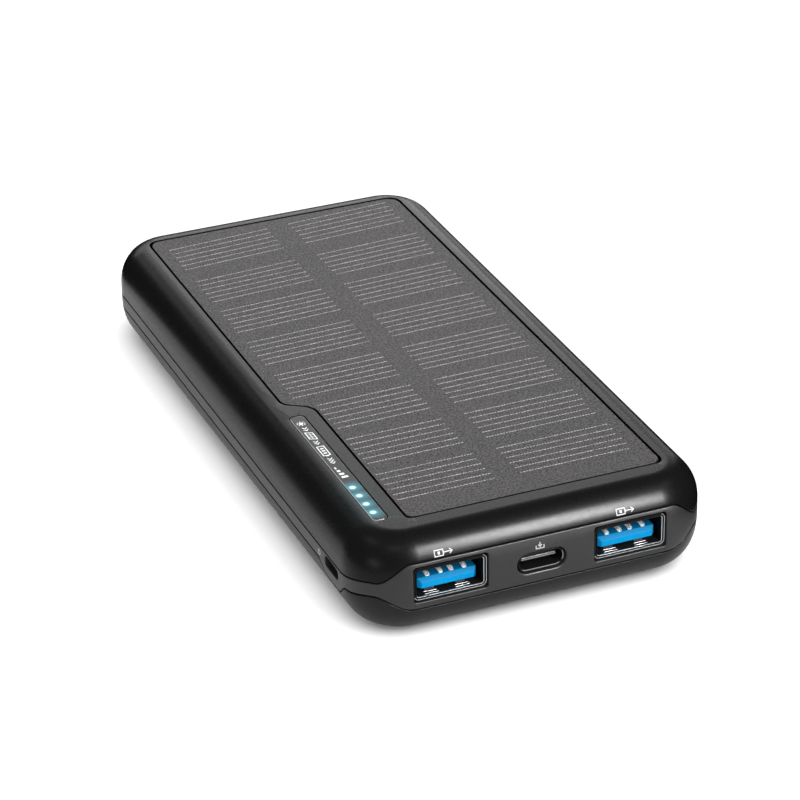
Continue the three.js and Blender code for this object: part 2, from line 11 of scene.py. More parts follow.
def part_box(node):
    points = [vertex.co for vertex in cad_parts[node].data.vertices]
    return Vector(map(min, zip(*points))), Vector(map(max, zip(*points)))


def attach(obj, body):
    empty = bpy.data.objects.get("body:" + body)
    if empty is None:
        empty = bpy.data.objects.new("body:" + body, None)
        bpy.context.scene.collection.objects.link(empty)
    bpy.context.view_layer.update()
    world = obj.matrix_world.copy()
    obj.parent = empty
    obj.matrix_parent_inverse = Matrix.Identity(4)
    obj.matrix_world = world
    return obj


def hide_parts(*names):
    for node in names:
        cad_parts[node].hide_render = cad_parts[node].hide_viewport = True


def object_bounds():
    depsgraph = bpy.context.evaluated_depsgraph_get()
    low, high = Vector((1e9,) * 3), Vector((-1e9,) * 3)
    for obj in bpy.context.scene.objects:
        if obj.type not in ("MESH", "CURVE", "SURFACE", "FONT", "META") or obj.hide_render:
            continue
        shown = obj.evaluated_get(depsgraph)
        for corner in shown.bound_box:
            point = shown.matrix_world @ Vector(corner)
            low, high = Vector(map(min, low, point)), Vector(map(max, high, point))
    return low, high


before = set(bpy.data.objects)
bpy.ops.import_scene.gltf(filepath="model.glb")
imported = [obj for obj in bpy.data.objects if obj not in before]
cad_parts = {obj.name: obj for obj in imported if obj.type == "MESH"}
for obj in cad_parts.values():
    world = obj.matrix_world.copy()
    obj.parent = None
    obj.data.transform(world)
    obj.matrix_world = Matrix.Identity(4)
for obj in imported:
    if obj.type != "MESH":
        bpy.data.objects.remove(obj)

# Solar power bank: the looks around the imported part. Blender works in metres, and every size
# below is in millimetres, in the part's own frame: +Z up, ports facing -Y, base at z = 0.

MM = 0.001
cad_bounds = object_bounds()
WIDTH, LENGTH, HEIGHT = ((cad_bounds[1][axis] - cad_bounds[0][axis]) / MM for axis in range(3))


# ------------------------------------------------------------------ sizes of the housing

CORNER_RADIUS = 10.75
TOP_RIM = {"inset": 5.8, "rise": 7.2}
BASE_RIM = {"inset": 8.7, "rise": 9.6, "power": 2.4}

SEAM_GAP = 0.3
UPPER_SEAM = {"front": 15.4, "corner": 11.6, "side": 10.5}
LOWER_SEAM = {"front": 6.3, "corner": 8.9, "side": 7.75}
BOW_START, BOW_END, BOW_SETTLED = 24.9, 31.7, 40.6
TRAY = {"start": 38.3, "full": 42.8, "leave": 47.4, "end": 51.2, "floor": 5.15, "lead": 8.0}

SHELL_WALL = 1.8
BAND_WALL = 1.5
LIP_THICKNESS = 0.8
LIP_REACH = 1.2
LIP_ROOT = 1.6
SEAM_EDGE = 0.1

PANEL = {"left": -27.15, "right": 27.15, "front": -60.95, "back": 62.75, "notch": -22.2}
NOTCH_BACK, NOTCH_FRONT = -13.1, -16.3
PANEL_GAP = 0.36
PANEL_RECESS = 0.05
PANEL_THICKNESS = 1.6
POCKET_FLOOR = HEIGHT - 2.1
CAVITY_TOP = POCKET_FLOOR - 1.1
CAVITY_FLOOR = 1.6

WINDOW = {"x": -26.5, "y": -38.9, "width": 3.04, "length": 41.2, "radius": 1.1, "depth": 1.2}
LIGHT_X = -26.85
LIGHT_YS = [-47.0 - 3.17 * index for index in range(4)]
LIGHT_SLOT = (1.9, 13.28)
WIRE_SLOT = {"x": 10, "y": -48, "width": 6, "length": 3}

PORT_X = -0.5
PORT_PITCH = 17.2
PORT_FACE = -LENGTH / 2 + 0.5
USB_A_CUT = {"width": 14.1, "height": 7.0, "z": 11.12, "radius": 0.6}
USB_C_CUT = {"width": 9.4, "height": 4.1, "z": 10.5, "radius": 2.04}
BUTTON = {"y": -54.2, "z": 8.9, "length": 6.2, "height": 2.2, "radius": 0.9, "recess": 0.9}


# ------------------------------------------------------------------ the outline and profile

CORNER_START = WIDTH / 2 - CORNER_RADIUS
CORNER_ARC = CORNER_RADIUS * math.pi / 2
SIDE_START = CORNER_START + CORNER_ARC
SIDE_END = SIDE_START + LENGTH - 2 * CORNER_RADIUS
BACK_START = SIDE_END + CORNER_ARC
BACK_MIDDLE = BACK_START + CORNER_START
CORNER_Y = LENGTH / 2 - CORNER_RADIUS


def place_at(distance):
    """x, y and the outward normal of the outline, by distance from the middle of the front."""
    side = -1 if distance < 0 else 1
    along = abs(distance)
    if along <= CORNER_START:
        x, y, normal_x, normal_y = along, -LENGTH / 2, 0, -1
    elif along <= SIDE_START:
        angle = (along - CORNER_START) / CORNER_RADIUS
        normal_x, normal_y = math.sin(angle), -math.cos(angle)
        x = CORNER_START + CORNER_RADIUS * normal_x
        y = -CORNER_Y + CORNER_RADIUS * normal_y
    elif along <= SIDE_END:
        x, y, normal_x, normal_y = WIDTH / 2, -CORNER_Y + along - SIDE_START, 1, 0
    elif along <= BACK_START:
        angle = (along - SIDE_END) / CORNER_RADIUS
        normal_x, normal_y = math.cos(angle), math.sin(angle)
        x = CORNER_START + CORNER_RADIUS * normal_x
        y = CORNER_Y + CORNER_RADIUS * normal_y
    else:
        x, y, normal_x, normal_y = CORNER_START - (along - BACK_START), LENGTH / 2, 0, 1
    return x * side, y, normal_x * side, normal_y


def smooth(start, end, value):
    t = min(max((value - start) / (end - start), 0), 1)
    return t * t * (3 - 2 * t)


def upper_seam(distance):
    along = abs(distance)
    front, corner, side = UPPER_SEAM["front"], UPPER_SEAM["corner"], UPPER_SEAM["side"]
    bow = smooth(BOW_START, BOW_END, along)
    return front + (corner - front) * bow + (side - corner) * smooth(BOW_END, BOW_SETTLED, along)


def lower_seam(distance):
    along = abs(distance)
    front, corner, side = LOWER_SEAM["front"], LOWER_SEAM["corner"], LOWER_SEAM["side"]
    risen = front + (corner - front) * smooth(BOW_START, BOW_END, along)
    if distance > 0 or along > TRAY["end"]:
        return risen + (side - corner) * smooth(BOW_END, BOW_SETTLED, along)
    floor, lead = TRAY["floor"], TRAY["lead"]
    led = risen + (lead - corner) * smooth(BOW_END, TRAY["start"], along)
    sunk = led + (floor - lead) * smooth(TRAY["start"], TRAY["full"], along)
    return sunk + (side - floor) * smooth(TRAY["leave"], TRAY["end"], along)


def inset_at(z):
    """How far the body's surface stands inside its outline at height z."""
    if z > HEIGHT / 2:
        reach = min(max((z - HEIGHT + TOP_RIM["rise"]) / TOP_RIM["rise"], 0), 1)
        return TOP_RIM["inset"] * (1 - math.sqrt(1 - reach * reach))
    reach = min(max((BASE_RIM["rise"] - z) / BASE_RIM["rise"], 0), 1)
    power = BASE_RIM["power"]
    return BASE_RIM["inset"] * (1 - (1 - reach ** power) ** (1 / power))


def surface(distance, z, depth=0.0):
    """The point at that depth under the body's surface."""
    x, y, normal_x, normal_y = place_at(distance)
    offset = inset_at(z) + depth
    return x - normal_x * offset, y - normal_y * offset, z


def top_height(x, y):
    """Height of the top surface over the point x, y."""
    across = abs(x) - CORNER_START
    along = abs(y) - CORNER_Y
    outside = math.hypot(max(across, 0), max(along, 0)) + min(max(across, along), 0)
    inset = CORNER_RADIUS - outside
    if inset >= TOP_RIM["inset"]:
        return HEIGHT
    share = 1 - inset / TOP_RIM["inset"]
    return HEIGHT - TOP_RIM["rise"] * (1 - math.sqrt(1 - share * share))


def spaced(start, end, count):
    return [start + (end - start) * (index + 1) / count for index in range(count)]


HALF = (
    spaced(0, CORNER_START, 12)
    + spaced(CORNER_START, SIDE_START, 34)
    + spaced(SIDE_START, TRAY["end"] + 2, 24)
    + spaced(TRAY["end"] + 2, SIDE_END, 16)
    + spaced(SIDE_END, BACK_START, 26)
    + spaced(BACK_START, BACK_MIDDLE, 6)
)
RING = [-distance for distance in reversed(HALF[:-1])] + [0.0] + HALF


# ------------------------------------------------------------------ building meshes

def box_mm(node):
    """The low and high corners of a CAD piece."""
    return [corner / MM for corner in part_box(node)]


class Body:
    """The points and faces of one closed mesh."""

    def __init__(self):
        self.points = []
        self.faces = []
        self.finishes = []

    def loop(self, points):
        start = len(self.points)
        self.points.extend(points)
        return list(range(start, len(self.points)))

    def face(self, corners, finish=0):
        self.faces.append(tuple(corners))
        self.finishes.append(finish)

    def bridge(self, first, second, finish=0):
        for index in range(len(first)):
            after = (index + 1) % len(first)
            self.face((first[index], first[after], second[after], second[index]), finish)

    def skin(self, loops, finish=0):
        """Bridges each loop to the next."""
        for first, second in zip(loops, loops[1:]):
            self.bridge(first, second, finish)

    def capped(self, loops, finish=0):
        """Bridges the loops and closes both ends."""
        self.skin(loops, finish)
        self.face(loops[0], finish)
        self.face(loops[-1], finish)

    def ring(self, heights, depth):
        """A loop right round the housing, at one height for each place of RING."""
        return self.loop([surface(distance, z, depth) for distance, z in zip(RING, heights)])

    def flat(self, ids):
        return [self.points[index][:2] for index in ids]

    def fill(self, loops, loose=(), lift=None, finish=0):
        """Fills the first loop, leaving the others open. A loop is (ids, its flat points), and
        loose flat points inside are raised to the surface by lift."""
        ids = []
        flat = []
        edges = []
        for loop_ids, loop_flat in loops:
            start = len(flat)
            count = len(loop_ids)
            ids.extend(loop_ids)
            flat.extend(loop_flat)
            edges.extend((start + index, start + (index + 1) % count) for index in range(count))
        ends = np.array([[flat[a], flat[b]] for a, b in edges], float)
        if loose:
            ids.extend(self.loop([lift(u, v) for u, v in loose]))
            flat.extend(loose)
        result = delaunay_2d_cdt([Vector(point) for point in flat], edges, [], 0, 1e-6)
        triangles, origins = result[2], result[3]
        if any(not origin for origin in origins):
            raise ValueError("two outlines of a face cross each other")
        corners = [[Vector(flat[origins[index][0]]) for index in triangle] for triangle in triangles]
        middles = np.array([sum(three, Vector((0, 0))) / 3 for three in corners])
        for triangle, inside in zip(triangles, winding_parity(middles, ends)):
            if inside:
                self.face([ids[origins[index][0]] for index in triangle], finish)


def winding_parity(points, ends):
    """Whether each point is inside an odd number of the loops that the edges make."""
    x, y = points[:, :1], points[:, 1:2]
    ax, ay, bx, by = ends[:, 0, 0], ends[:, 0, 1], ends[:, 1, 0], ends[:, 1, 1]
    spans = (ay > y) != (by > y)
    rise = np.where(by == ay, 1, by - ay)
    crossings = spans & (x < (bx - ax) * (y - ay) / rise + ax)
    return crossings.sum(axis=1) % 2 == 1


def gap_to(points, outline):
    """Distance from each flat point to the closest corner or side of an outline."""
    points = np.array(points, float)[:, None, :]
    start = np.array(outline, float)[None, :, :]
    side = np.roll(start, -1, axis=1) - start
    share = ((points - start) * side).sum(-1) / np.maximum((side * side).sum(-1), 1e-12)
    nearest = start + np.clip(share, 0, 1)[..., None] * side
    return np.linalg.norm(points - nearest, axis=-1).min(axis=1)


def clear_points(points, outlines, gap):
    """The points outside every outline and at least gap away from it."""
    keep = np.ones(len(points), bool)
    for outline in outlines:
        edges = np.stack([np.array(outline, float), np.roll(np.array(outline, float), -1, axis=0)], axis=1)
        keep &= ~winding_parity(np.array(points, float), edges)
        keep &= gap_to(points, outline) >= gap
    return [point for point, kept in zip(points, keep) if kept]


def round_over(radius, steps=4):
    """(outward, inward) places over a rounded edge, from the face to the wall."""
    angles = [math.pi / 2 * step / steps for step in range(steps + 1)]
    return [(radius * (1 - math.sin(angle)), radius * (1 - math.cos(angle))) for angle in angles]


def rounded_rectangle(centre_x, centre_y, width, height, radius, steps=8, grow=0.0):
    """Flat points of a rectangle with arcs for corners, from its right side anticlockwise."""
    half_width, half_height = width / 2 + grow, height / 2 + grow
    radius = max(min(radius + grow, half_width - 0.001, half_height - 0.001), 0.02)
    points = []
    for quarter, (side_x, side_y) in enumerate([(1, 1), (-1, 1), (-1, -1), (1, -1)]):
        corner_x = centre_x + side_x * (half_width - radius)
        corner_y = centre_y + side_y * (half_height - radius)
        for step in range(steps + 1):
            angle = math.pi / 2 * (quarter + step / steps)
            points.append((corner_x + radius * math.cos(angle), corner_y + radius * math.sin(angle)))
    return points


def circle(centre_x, centre_y, radius, sides=28):
    angles = [2 * math.pi * side / sides for side in range(sides)]
    return [(centre_x + radius * math.cos(a), centre_y + radius * math.sin(a)) for a in angles]


def make_piece(name, body, materials, rides="housing", replaces=(), sharp=38, weighted=True):
    mesh = bpy.data.meshes.new(name)
    mesh.from_pydata([(x * MM, y * MM, z * MM) for x, y, z in body.points], [], body.faces)
    mesh.polygons.foreach_set("material_index", body.finishes)
    work = bmesh.new()
    work.from_mesh(mesh)
    bmesh.ops.remove_doubles(work, verts=work.verts, dist=4e-7)
    bmesh.ops.recalc_face_normals(work, faces=work.faces)
    open_edges = sum(1 for edge in work.edges if len(edge.link_faces) != 2)
    if open_edges:
        raise ValueError(f"{name} isn't closed: {open_edges} of its edges don't join two faces")
    work.to_mesh(mesh)
    work.free()
    mesh.polygons.foreach_set("use_smooth", [True] * len(mesh.polygons))
    mesh.set_sharp_from_angle(angle=math.radians(sharp))
    piece = bpy.data.objects.new(name, mesh)
    bpy.context.scene.collection.objects.link(piece)
    for material in materials:
        mesh.materials.append(material)
    if weighted:
        normals = piece.modifiers.new("even_normals", "WEIGHTED_NORMAL")
        normals.keep_sharp = True
    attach(piece, rides)
    if replaces:
        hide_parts(*replaces)
    return piece


# ------------------------------------------------------------------ materials

class Shader:
    """A node material whose patterns are measured in millimetres of the part's own frame."""

    def __init__(self, name, colour, roughness, **settings):
        self.material = bpy.data.materials.new(name)
        self.material.use_nodes = True
        self.tree = self.material.node_tree
        self.main = self.tree.nodes["Principled BSDF"]
        self.set("Base Color", (*colour, 1))
        self.set("Roughness", roughness)
        for socket, value in settings.items():
            self.set(socket.replace("_", " ").replace("IOR level", "IOR Level"), value)
        coordinates = self.tree.nodes.new("ShaderNodeTexCoord")
        self.place = self.node("ShaderNodeVectorMath", {0: coordinates.outputs["Object"], 1: (1 / MM,) * 3},
                               operation="MULTIPLY").outputs[0]

    def set(self, socket, value):
        self.main.inputs[socket].default_value = value

    def node(self, kind, inputs=None, **settings):
        made = self.tree.nodes.new(kind)
        for key, value in settings.items():
            setattr(made, key, value)
        for key, value in (inputs or {}).items():
            if isinstance(value, bpy.types.NodeSocket):
                self.tree.links.new(value, made.inputs[key])
            else:
                made.inputs[key].default_value = value
        return made

    def join(self, socket, name):
        self.tree.links.new(socket, self.main.inputs[name])

    def noise(self, scale, detail=2.0, roughness=0.5, stretch=(1, 1, 1)):
        place = self.place
        if stretch != (1, 1, 1):
            place = self.math3("MULTIPLY", place, stretch)
        made = self.node("ShaderNodeTexNoise",
                         {"Vector": place, "Scale": scale, "Detail": detail, "Roughness": roughness})
        return made.outputs["Fac"]

    def math(self, operation, first, second=0.0, third=0.0):
        made = self.node("ShaderNodeMath", {0: first, 1: second, 2: third}, operation=operation)
        return made.outputs[0]

    def math3(self, operation, first, second):
        made = self.node("ShaderNodeVectorMath", {0: first, 1: second}, operation=operation)
        return made.outputs["Value"] if operation in ("LENGTH", "DISTANCE") else made.outputs[0]

    def spread(self, value, low, high, to_low=0.0, to_high=1.0, easing="LINEAR"):
        made = self.node("ShaderNodeMapRange", {
            "Value": value, "From Min": low, "From Max": high, "To Min": to_low, "To Max": to_high,
        }, interpolation_type=easing)
        return made.outputs["Result"]

    def blend(self, share, first, second):
        made = self.node("ShaderNodeMix", data_type="RGBA")
        for index, value in ((0, share), (6, first), (7, second)):
            if isinstance(value, bpy.types.NodeSocket):
                self.tree.links.new(value, made.inputs[index])
            else:
                made.inputs[index].default_value = value if index == 0 else (*value, 1)
        return made.outputs[2]

    def paint(self, share, first, second, socket="Base Color"):
        self.join(self.blend(share, first, second), socket)

    def bump(self, height, strength, distance_mm):
        inputs = {"Height": height, "Strength": strength, "Distance": distance_mm * MM}
        made = self.node("ShaderNodeBump", inputs)
        self.join(made.outputs["Normal"], "Normal")


LAMP_CYAN = (0.005, 0.36, 0.46)


def grey(value):
    return (value, value, value)


def shade(colour, share):
    return tuple(min(channel * share, 1) for channel in colour)


def lamp_halo(shader, reach, falloff):
    """1 at the charge lights, fading to 0 at the given distance from the closest one."""
    halo = None
    flat_place = shader.math3("MULTIPLY", shader.place, (1, 1, 0))
    for y in LIGHT_YS:
        away = shader.math3("DISTANCE", flat_place, (LIGHT_X, y, 0))
        glow = shader.math("POWER", shader.spread(away, reach, 0.2), falloff)
        halo = glow if halo is None else shader.math("MAXIMUM", halo, glow)
    return halo


def moulded(name, colour, roughness, grain=0.012, **settings):
    """Satin plastic with fine spark-eroded grain, faint flow mottling and uneven gloss."""
    shader = Shader(name, colour, roughness, **settings)
    fine = shader.noise(6.0, 3.0, 0.6)
    broad = shader.noise(0.16, 2.0)
    mottle = shader.math("MULTIPLY_ADD", fine, 0.4, shader.math("MULTIPLY", broad, 0.6))
    shader.paint(mottle, shade(colour, 0.86), shade(colour, 1.16))
    uneven = shader.noise(2.2, 3.0)
    shader.join(shader.spread(uneven, 0.3, 0.7, roughness - 0.03, roughness + 0.04), "Roughness")
    shader.bump(fine, 0.28, grain)
    return shader


def moulded_plastic(name, colour, roughness, grain=0.012, **settings):
    return moulded(name, colour, roughness, grain, **settings).material


def lamp_lit_plastic(name, colour, roughness, grain, **settings):
    """Moulded plastic, with the cyan light that spills onto it round the charge lights."""
    shader = moulded(name, colour, roughness, grain, **settings)
    # Painted light: the shell's surface itself emits the cyan spill round the charge lights.
    shader.set("Emission Color", (*LAMP_CYAN, 1))
    shader.join(shader.math("MULTIPLY", lamp_halo(shader, 6.0, 3.0), 0.09), "Emission Strength")
    return shader.material


def solar_laminate():
    """Resin-coated solar cell: a sand-like pebbled film over dark warm grey silicon."""
    shader = Shader("solar_laminate", (0.045, 0.042, 0.044), 0.46, IOR=1.19)
    pebbles = shader.node("ShaderNodeTexVoronoi", {"Vector": shader.place, "Scale": 2.6, "Randomness": 1.0},
                          feature="SMOOTH_F1").outputs["Distance"]
    sand = shader.noise(2.6, 3.0, 0.7)
    speckle = shader.spread(sand, 0.38, 0.62)
    shader.paint(speckle, (0.009, 0.0085, 0.0088), (0.061, 0.057, 0.059))
    shader.join(shader.spread(pebbles, 0.1, 0.6, 0.40, 0.56), "Roughness")
    shader.bump(shader.math("MULTIPLY_ADD", pebbles, 0.5, sand), 0.9, 0.09)
    return shader.material


def grid_silver():
    shader = Shader("grid_silver", (0.20, 0.19, 0.185), 0.42, IOR=1.25)
    wear = shader.noise(1.9, 3.0, 0.65)
    shader.paint(shader.spread(wear, 0.34, 0.62), (0.10, 0.095, 0.093), (0.28, 0.268, 0.262))
    shader.join(shader.spread(wear, 0.3, 0.7, 0.5, 0.34), "Roughness")
    return shader.material


def brushed_steel(name, colour, roughness, direction=(1, 12, 12)):
    shader = Shader(name, colour, roughness, Metallic=1.0)
    streaks = shader.noise(1.4, 4.0, 0.6, direction)
    shader.paint(shader.spread(streaks, 0.3, 0.7), shade(colour, 0.78), colour)
    shader.join(shader.spread(streaks, 0.3, 0.7, roughness - 0.06, roughness + 0.08), "Roughness")
    shader.bump(streaks, 0.25, 0.01)
    return shader.material


def contact_plating_painted_glow():
    """Bright plated contacts, worn darker in streaks along their length, with a faint painted glow that
    makes them look lit.
    """
    shader = Shader("contact_plating_painted_glow", (0.70, 0.70, 0.70), 0.36, IOR=1.15)
    wear = shader.noise(1.1, 3.0, 0.6, (4, 1, 4))
    tint = shader.blend(shader.spread(wear, 0.36, 0.56), (0.22, 0.22, 0.23), (0.82, 0.84, 0.85))
    shader.join(tint, "Base Color")
    # Painted glow: the plating emits its own colour faintly, to look brighter.
    shader.join(tint, "Emission Color")
    shader.set("Emission Strength", 0.12)
    shader.join(shader.spread(wear, 0.3, 0.7, 0.42, 0.26), "Roughness")
    return shader.material


def status_lens():
    """Smoked acrylic with four lamps glowing through it: white cores in a cyan halo."""
    shader = Shader("status_lens", grey(0.012), 0.28, IOR=1.15)
    haze = shader.noise(3.0, 3.0, 0.6)
    shader.paint(haze, (0.009, 0.0095, 0.010), (0.015, 0.016, 0.017))
    shader.join(shader.spread(haze, 0.3, 0.7, 0.25, 0.32), "Roughness")
    shader.bump(haze, 0.2, 0.006)
    core = lamp_halo(shader, 0.85, 1.2)
    halo = lamp_halo(shader, 2.7, 1.5)
    shader.paint(core, LAMP_CYAN, (0.75, 1.0, 1.0), "Emission Color")
    glow = shader.math("MULTIPLY", halo, 0.95)
    shader.join(shader.math("MULTIPLY_ADD", core, 0.9, glow), "Emission Strength")
    return shader.material


def lit_edge():
    """The lens edge that the lamps light from inside, painted on as a glow."""
    shader = Shader("lens_lit_edge", (0.20, 0.21, 0.22), 0.35)
    uneven = shader.noise(0.5, 2.0)
    shader.paint(uneven, (0.15, 0.16, 0.17), (0.26, 0.27, 0.28))
    shader.paint(uneven, (0.10, 0.11, 0.11), (0.24, 0.26, 0.27), "Emission Color")
    shader.set("Emission Strength", 0.5)
    return shader.material


def print_ink(name, colour, glow):
    shader = Shader(name, colour, 0.6, IOR=1.08)
    mottle = shader.noise(7.0, 2.0)
    for socket in ("Base Color", "Emission Color"):
        shader.paint(mottle, shade(colour, 0.85), colour, socket)
    # Emission: for the charge lamps their own light; for the printed marks a painted glow that brightens the
    # ink.
    shader.set("Emission Strength", glow)
    shader.bump(mottle, 0.3, 0.004)
    return shader.material


def blue_moulding_painted_glow():
    """Azure nylon with a faint painted glow all over it, that makes it look lit."""
    shader = Shader("usb_blue_painted_glow", (0.001, 0.22, 0.47), 0.5, IOR=1.08)
    clouds = shader.noise(1.2, 3.0)
    tint = shader.blend(clouds, (0.001, 0.18, 0.40), (0.002, 0.235, 0.50))
    shader.join(tint, "Base Color")
    # Painted glow: the nylon emits its own tint evenly.
    shader.join(tint, "Emission Color")
    shader.set("Emission Strength", 0.06)
    shader.join(shader.spread(clouds, 0.3, 0.7, 0.46, 0.54), "Roughness")
    shader.bump(shader.noise(7.0, 2.0), 0.3, 0.006)
    return shader.material


def circuit_board():
    """Green solder mask with a faint copper grid under it."""
    shader = Shader("solder_mask", (0.010, 0.09, 0.035), 0.35)
    bricks = shader.node("ShaderNodeTexBrick", {
        "Vector": shader.place, "Scale": 0.55, "Mortar Size": 0.06,
        "Color1": (0.010, 0.085, 0.03, 1), "Color2": (0.012, 0.11, 0.04, 1), "Mortar": (0.03, 0.16, 0.06, 1),
    })
    shader.join(bricks.outputs["Color"], "Base Color")
    shader.bump(bricks.outputs["Fac"], 0.4, 0.03)
    return shader.material


def pouch_foil():
    shader = Shader("pouch_foil", (0.62, 0.64, 0.66), 0.34, Metallic=0.8)
    creases = shader.noise(0.35, 5.0, 0.62)
    shader.paint(creases, (0.50, 0.52, 0.54), (0.72, 0.74, 0.76))
    shader.join(shader.spread(creases, 0.3, 0.7, 0.26, 0.44), "Roughness")
    shader.bump(creases, 0.6, 0.12)
    return shader.material


def soft_foam(name, colour):
    shader = Shader(name, colour, 0.92)
    cells = shader.node("ShaderNodeTexVoronoi", {"Vector": shader.place, "Scale": 3.2}).outputs["Distance"]
    shader.paint(cells, shade(colour, 0.55), colour)
    shader.bump(cells, 0.8, 0.15)
    return shader.material


def wire_cover(name, colour):
    shader = Shader(name, colour, 0.42)
    print_through = shader.noise(2.4, 2.0, 0.5, (1, 1, 0.3))
    shader.paint(print_through, shade(colour, 0.8), colour)
    shader.bump(print_through, 0.3, 0.02)
    return shader.material


def floor_paper():
    shader = Shader("studio_floor", grey(0.9), 0.9, Specular_IOR_Level=0.0)
    fibre = shader.noise(0.05, 2.0)
    shader.paint(fibre, grey(0.9), grey(0.92))
    return shader.material


TOP_SHELL = lamp_lit_plastic("shell_plastic", (0.0045, 0.0045, 0.0046), 0.29, grain=0.004, IOR=1.14)
BASE_SHELL = moulded_plastic("base_plastic", grey(0.0072), 0.38, IOR=1.18)
BAND = moulded_plastic("band_plastic", grey(0.0120), 0.44, IOR=1.3)
BUTTON_CAP = moulded_plastic("button_plastic", grey(0.004), 0.45, IOR=1.3)
# GAP_SHADE is painted shade: a near-black matte put on the walls round the solar panel and the status
# window, and on the panel's sides, where the gap lies in shade.
GAP_SHADE = moulded_plastic("gap_painted_shade", grey(0.0015), 0.75, IOR=1.12)
BLACK = moulded_plastic("black_moulding", grey(0.012), 0.45)
SOLAR = solar_laminate()
SILVER_LINE = grid_silver()
LENS = status_lens()
LENS_EDGE = lit_edge()
LENS_SIDE = moulded_plastic("lens_side", (0.030, 0.032, 0.034), 0.4)
STEEL = brushed_steel("stainless", grey(0.62), 0.28)
SPRING_STEEL = moulded_plastic("spring_steel", (0.085, 0.078, 0.078), 0.45, IOR=1.2)
# Painted shade: a near-black matte that stands in for the steel of the socket bores, grooves, flange faces
# and beads that lie in shade.
SHADE_PAINTED_STEEL = moulded_plastic("shaded_steel", (0.0035, 0.0035, 0.0036), 0.6, IOR=1.15)
CONTACT_PAINTED_GLOW = contact_plating_painted_glow()
DULL_STEEL = moulded_plastic("dull_steel", grey(0.20), 0.5, IOR=1.12)
BLUE_PAINTED_GLOW = blue_moulding_painted_glow()
# Printed marks with a faint painted glow: the ink emits light of its own.
WHITE_INK_PAINTED_GLOW = print_ink("white_ink_painted_glow", (0.62, 0.63, 0.64), 0.10)
GREY_INK_PAINTED_GLOW = print_ink("grey_ink_painted_glow", grey(0.42), 0.04)


# ------------------------------------------------------------------ housing shells

# SHADED is the finish index for painted shade: near-black, put on pocket walls, socket bores and beads that
# lie in shade.
SHADED = 1
# Beads of a socket's mouth: those at its top and left get painted shade, the others stay bright.
BEAD_LIT_OR_PAINTED_SHADE = 2


def panel_outline(grow):
    """Flat outline round the solar panel, grown outwards from the middle of its gap."""
    left, right = PANEL["left"] - grow, PANEL["right"] + grow
    front, back = PANEL["front"] - grow, PANEL["back"] + grow
    notch = PANEL["notch"] - grow
    diagonal = 0.54 * grow
    corners = [
        ((left, back), 2.6), ((left, NOTCH_BACK - diagonal), 2.6), ((notch, NOTCH_FRONT - diagonal), 4.0),
        ((notch, front), 1.5), ((right, front), 2.1), ((right, back), 3.0),
    ]
    steps = 10
    points = []
    for index, (corner, radius) in enumerate(corners):
        at = Vector(corner)
        to_before = (Vector(corners[index - 1][0]) - at).normalized()
        to_after = (Vector(corners[(index + 1) % len(corners)][0]) - at).normalized()
        reach = radius / math.tan(to_before.angle(to_after) / 2)
        enter, leave = at + to_before * reach, at + to_after * reach
        for step in range(steps + 1):
            t = step / steps
            point = enter * (1 - t) ** 2 + at * 2 * t * (1 - t) + leave * t * t
            points.append((point.x, point.y))
    return points


def window_outline(grow):
    w = WINDOW
    return rounded_rectangle(w["x"], w["y"], w["width"], w["length"], w["radius"], grow=grow)


def rim_parameter(z):
    reach = (z - HEIGHT + TOP_RIM["rise"]) / TOP_RIM["rise"]
    return math.asin(min(reach, 1)) if reach > 0 else reach


def rim_height(parameter):
    reach = math.sin(parameter) if parameter > 0 else parameter
    return HEIGHT - TOP_RIM["rise"] * (1 - reach)


def near_button(distance):
    """1 beside the button, where the lips are cut away, and 0 elsewhere."""
    return smooth(39.2, 40.6, -distance) * (1 - smooth(48.8, 50.2, -distance))


def sink_pocket(body, outline, edge, floor):
    """A pocket in the top with a rounded edge. Gives its rim and its floor as (ids, flat points)."""
    loops = []
    for outward, inward in round_over(edge):
        loops.append(body.loop([(x, y, top_height(x, y) - inward) for x, y in outline(outward)]))
    bottom = body.loop([(x, y, floor) for x, y in outline(0)])
    # The rounded edge and the walls of the pocket take SHADED: painted shade.
    body.skin([*loops, bottom], SHADED)
    return (loops[0], outline(edge)), (bottom, outline(0))


def shaft(body, outline, heights):
    """An upright hole through the given heights. Gives its two ends as (ids, flat points)."""
    loops = [body.loop([(x, y, z) for x, y in outline]) for z in heights]
    body.skin(loops)
    return (loops[0], outline), (loops[-1], outline)


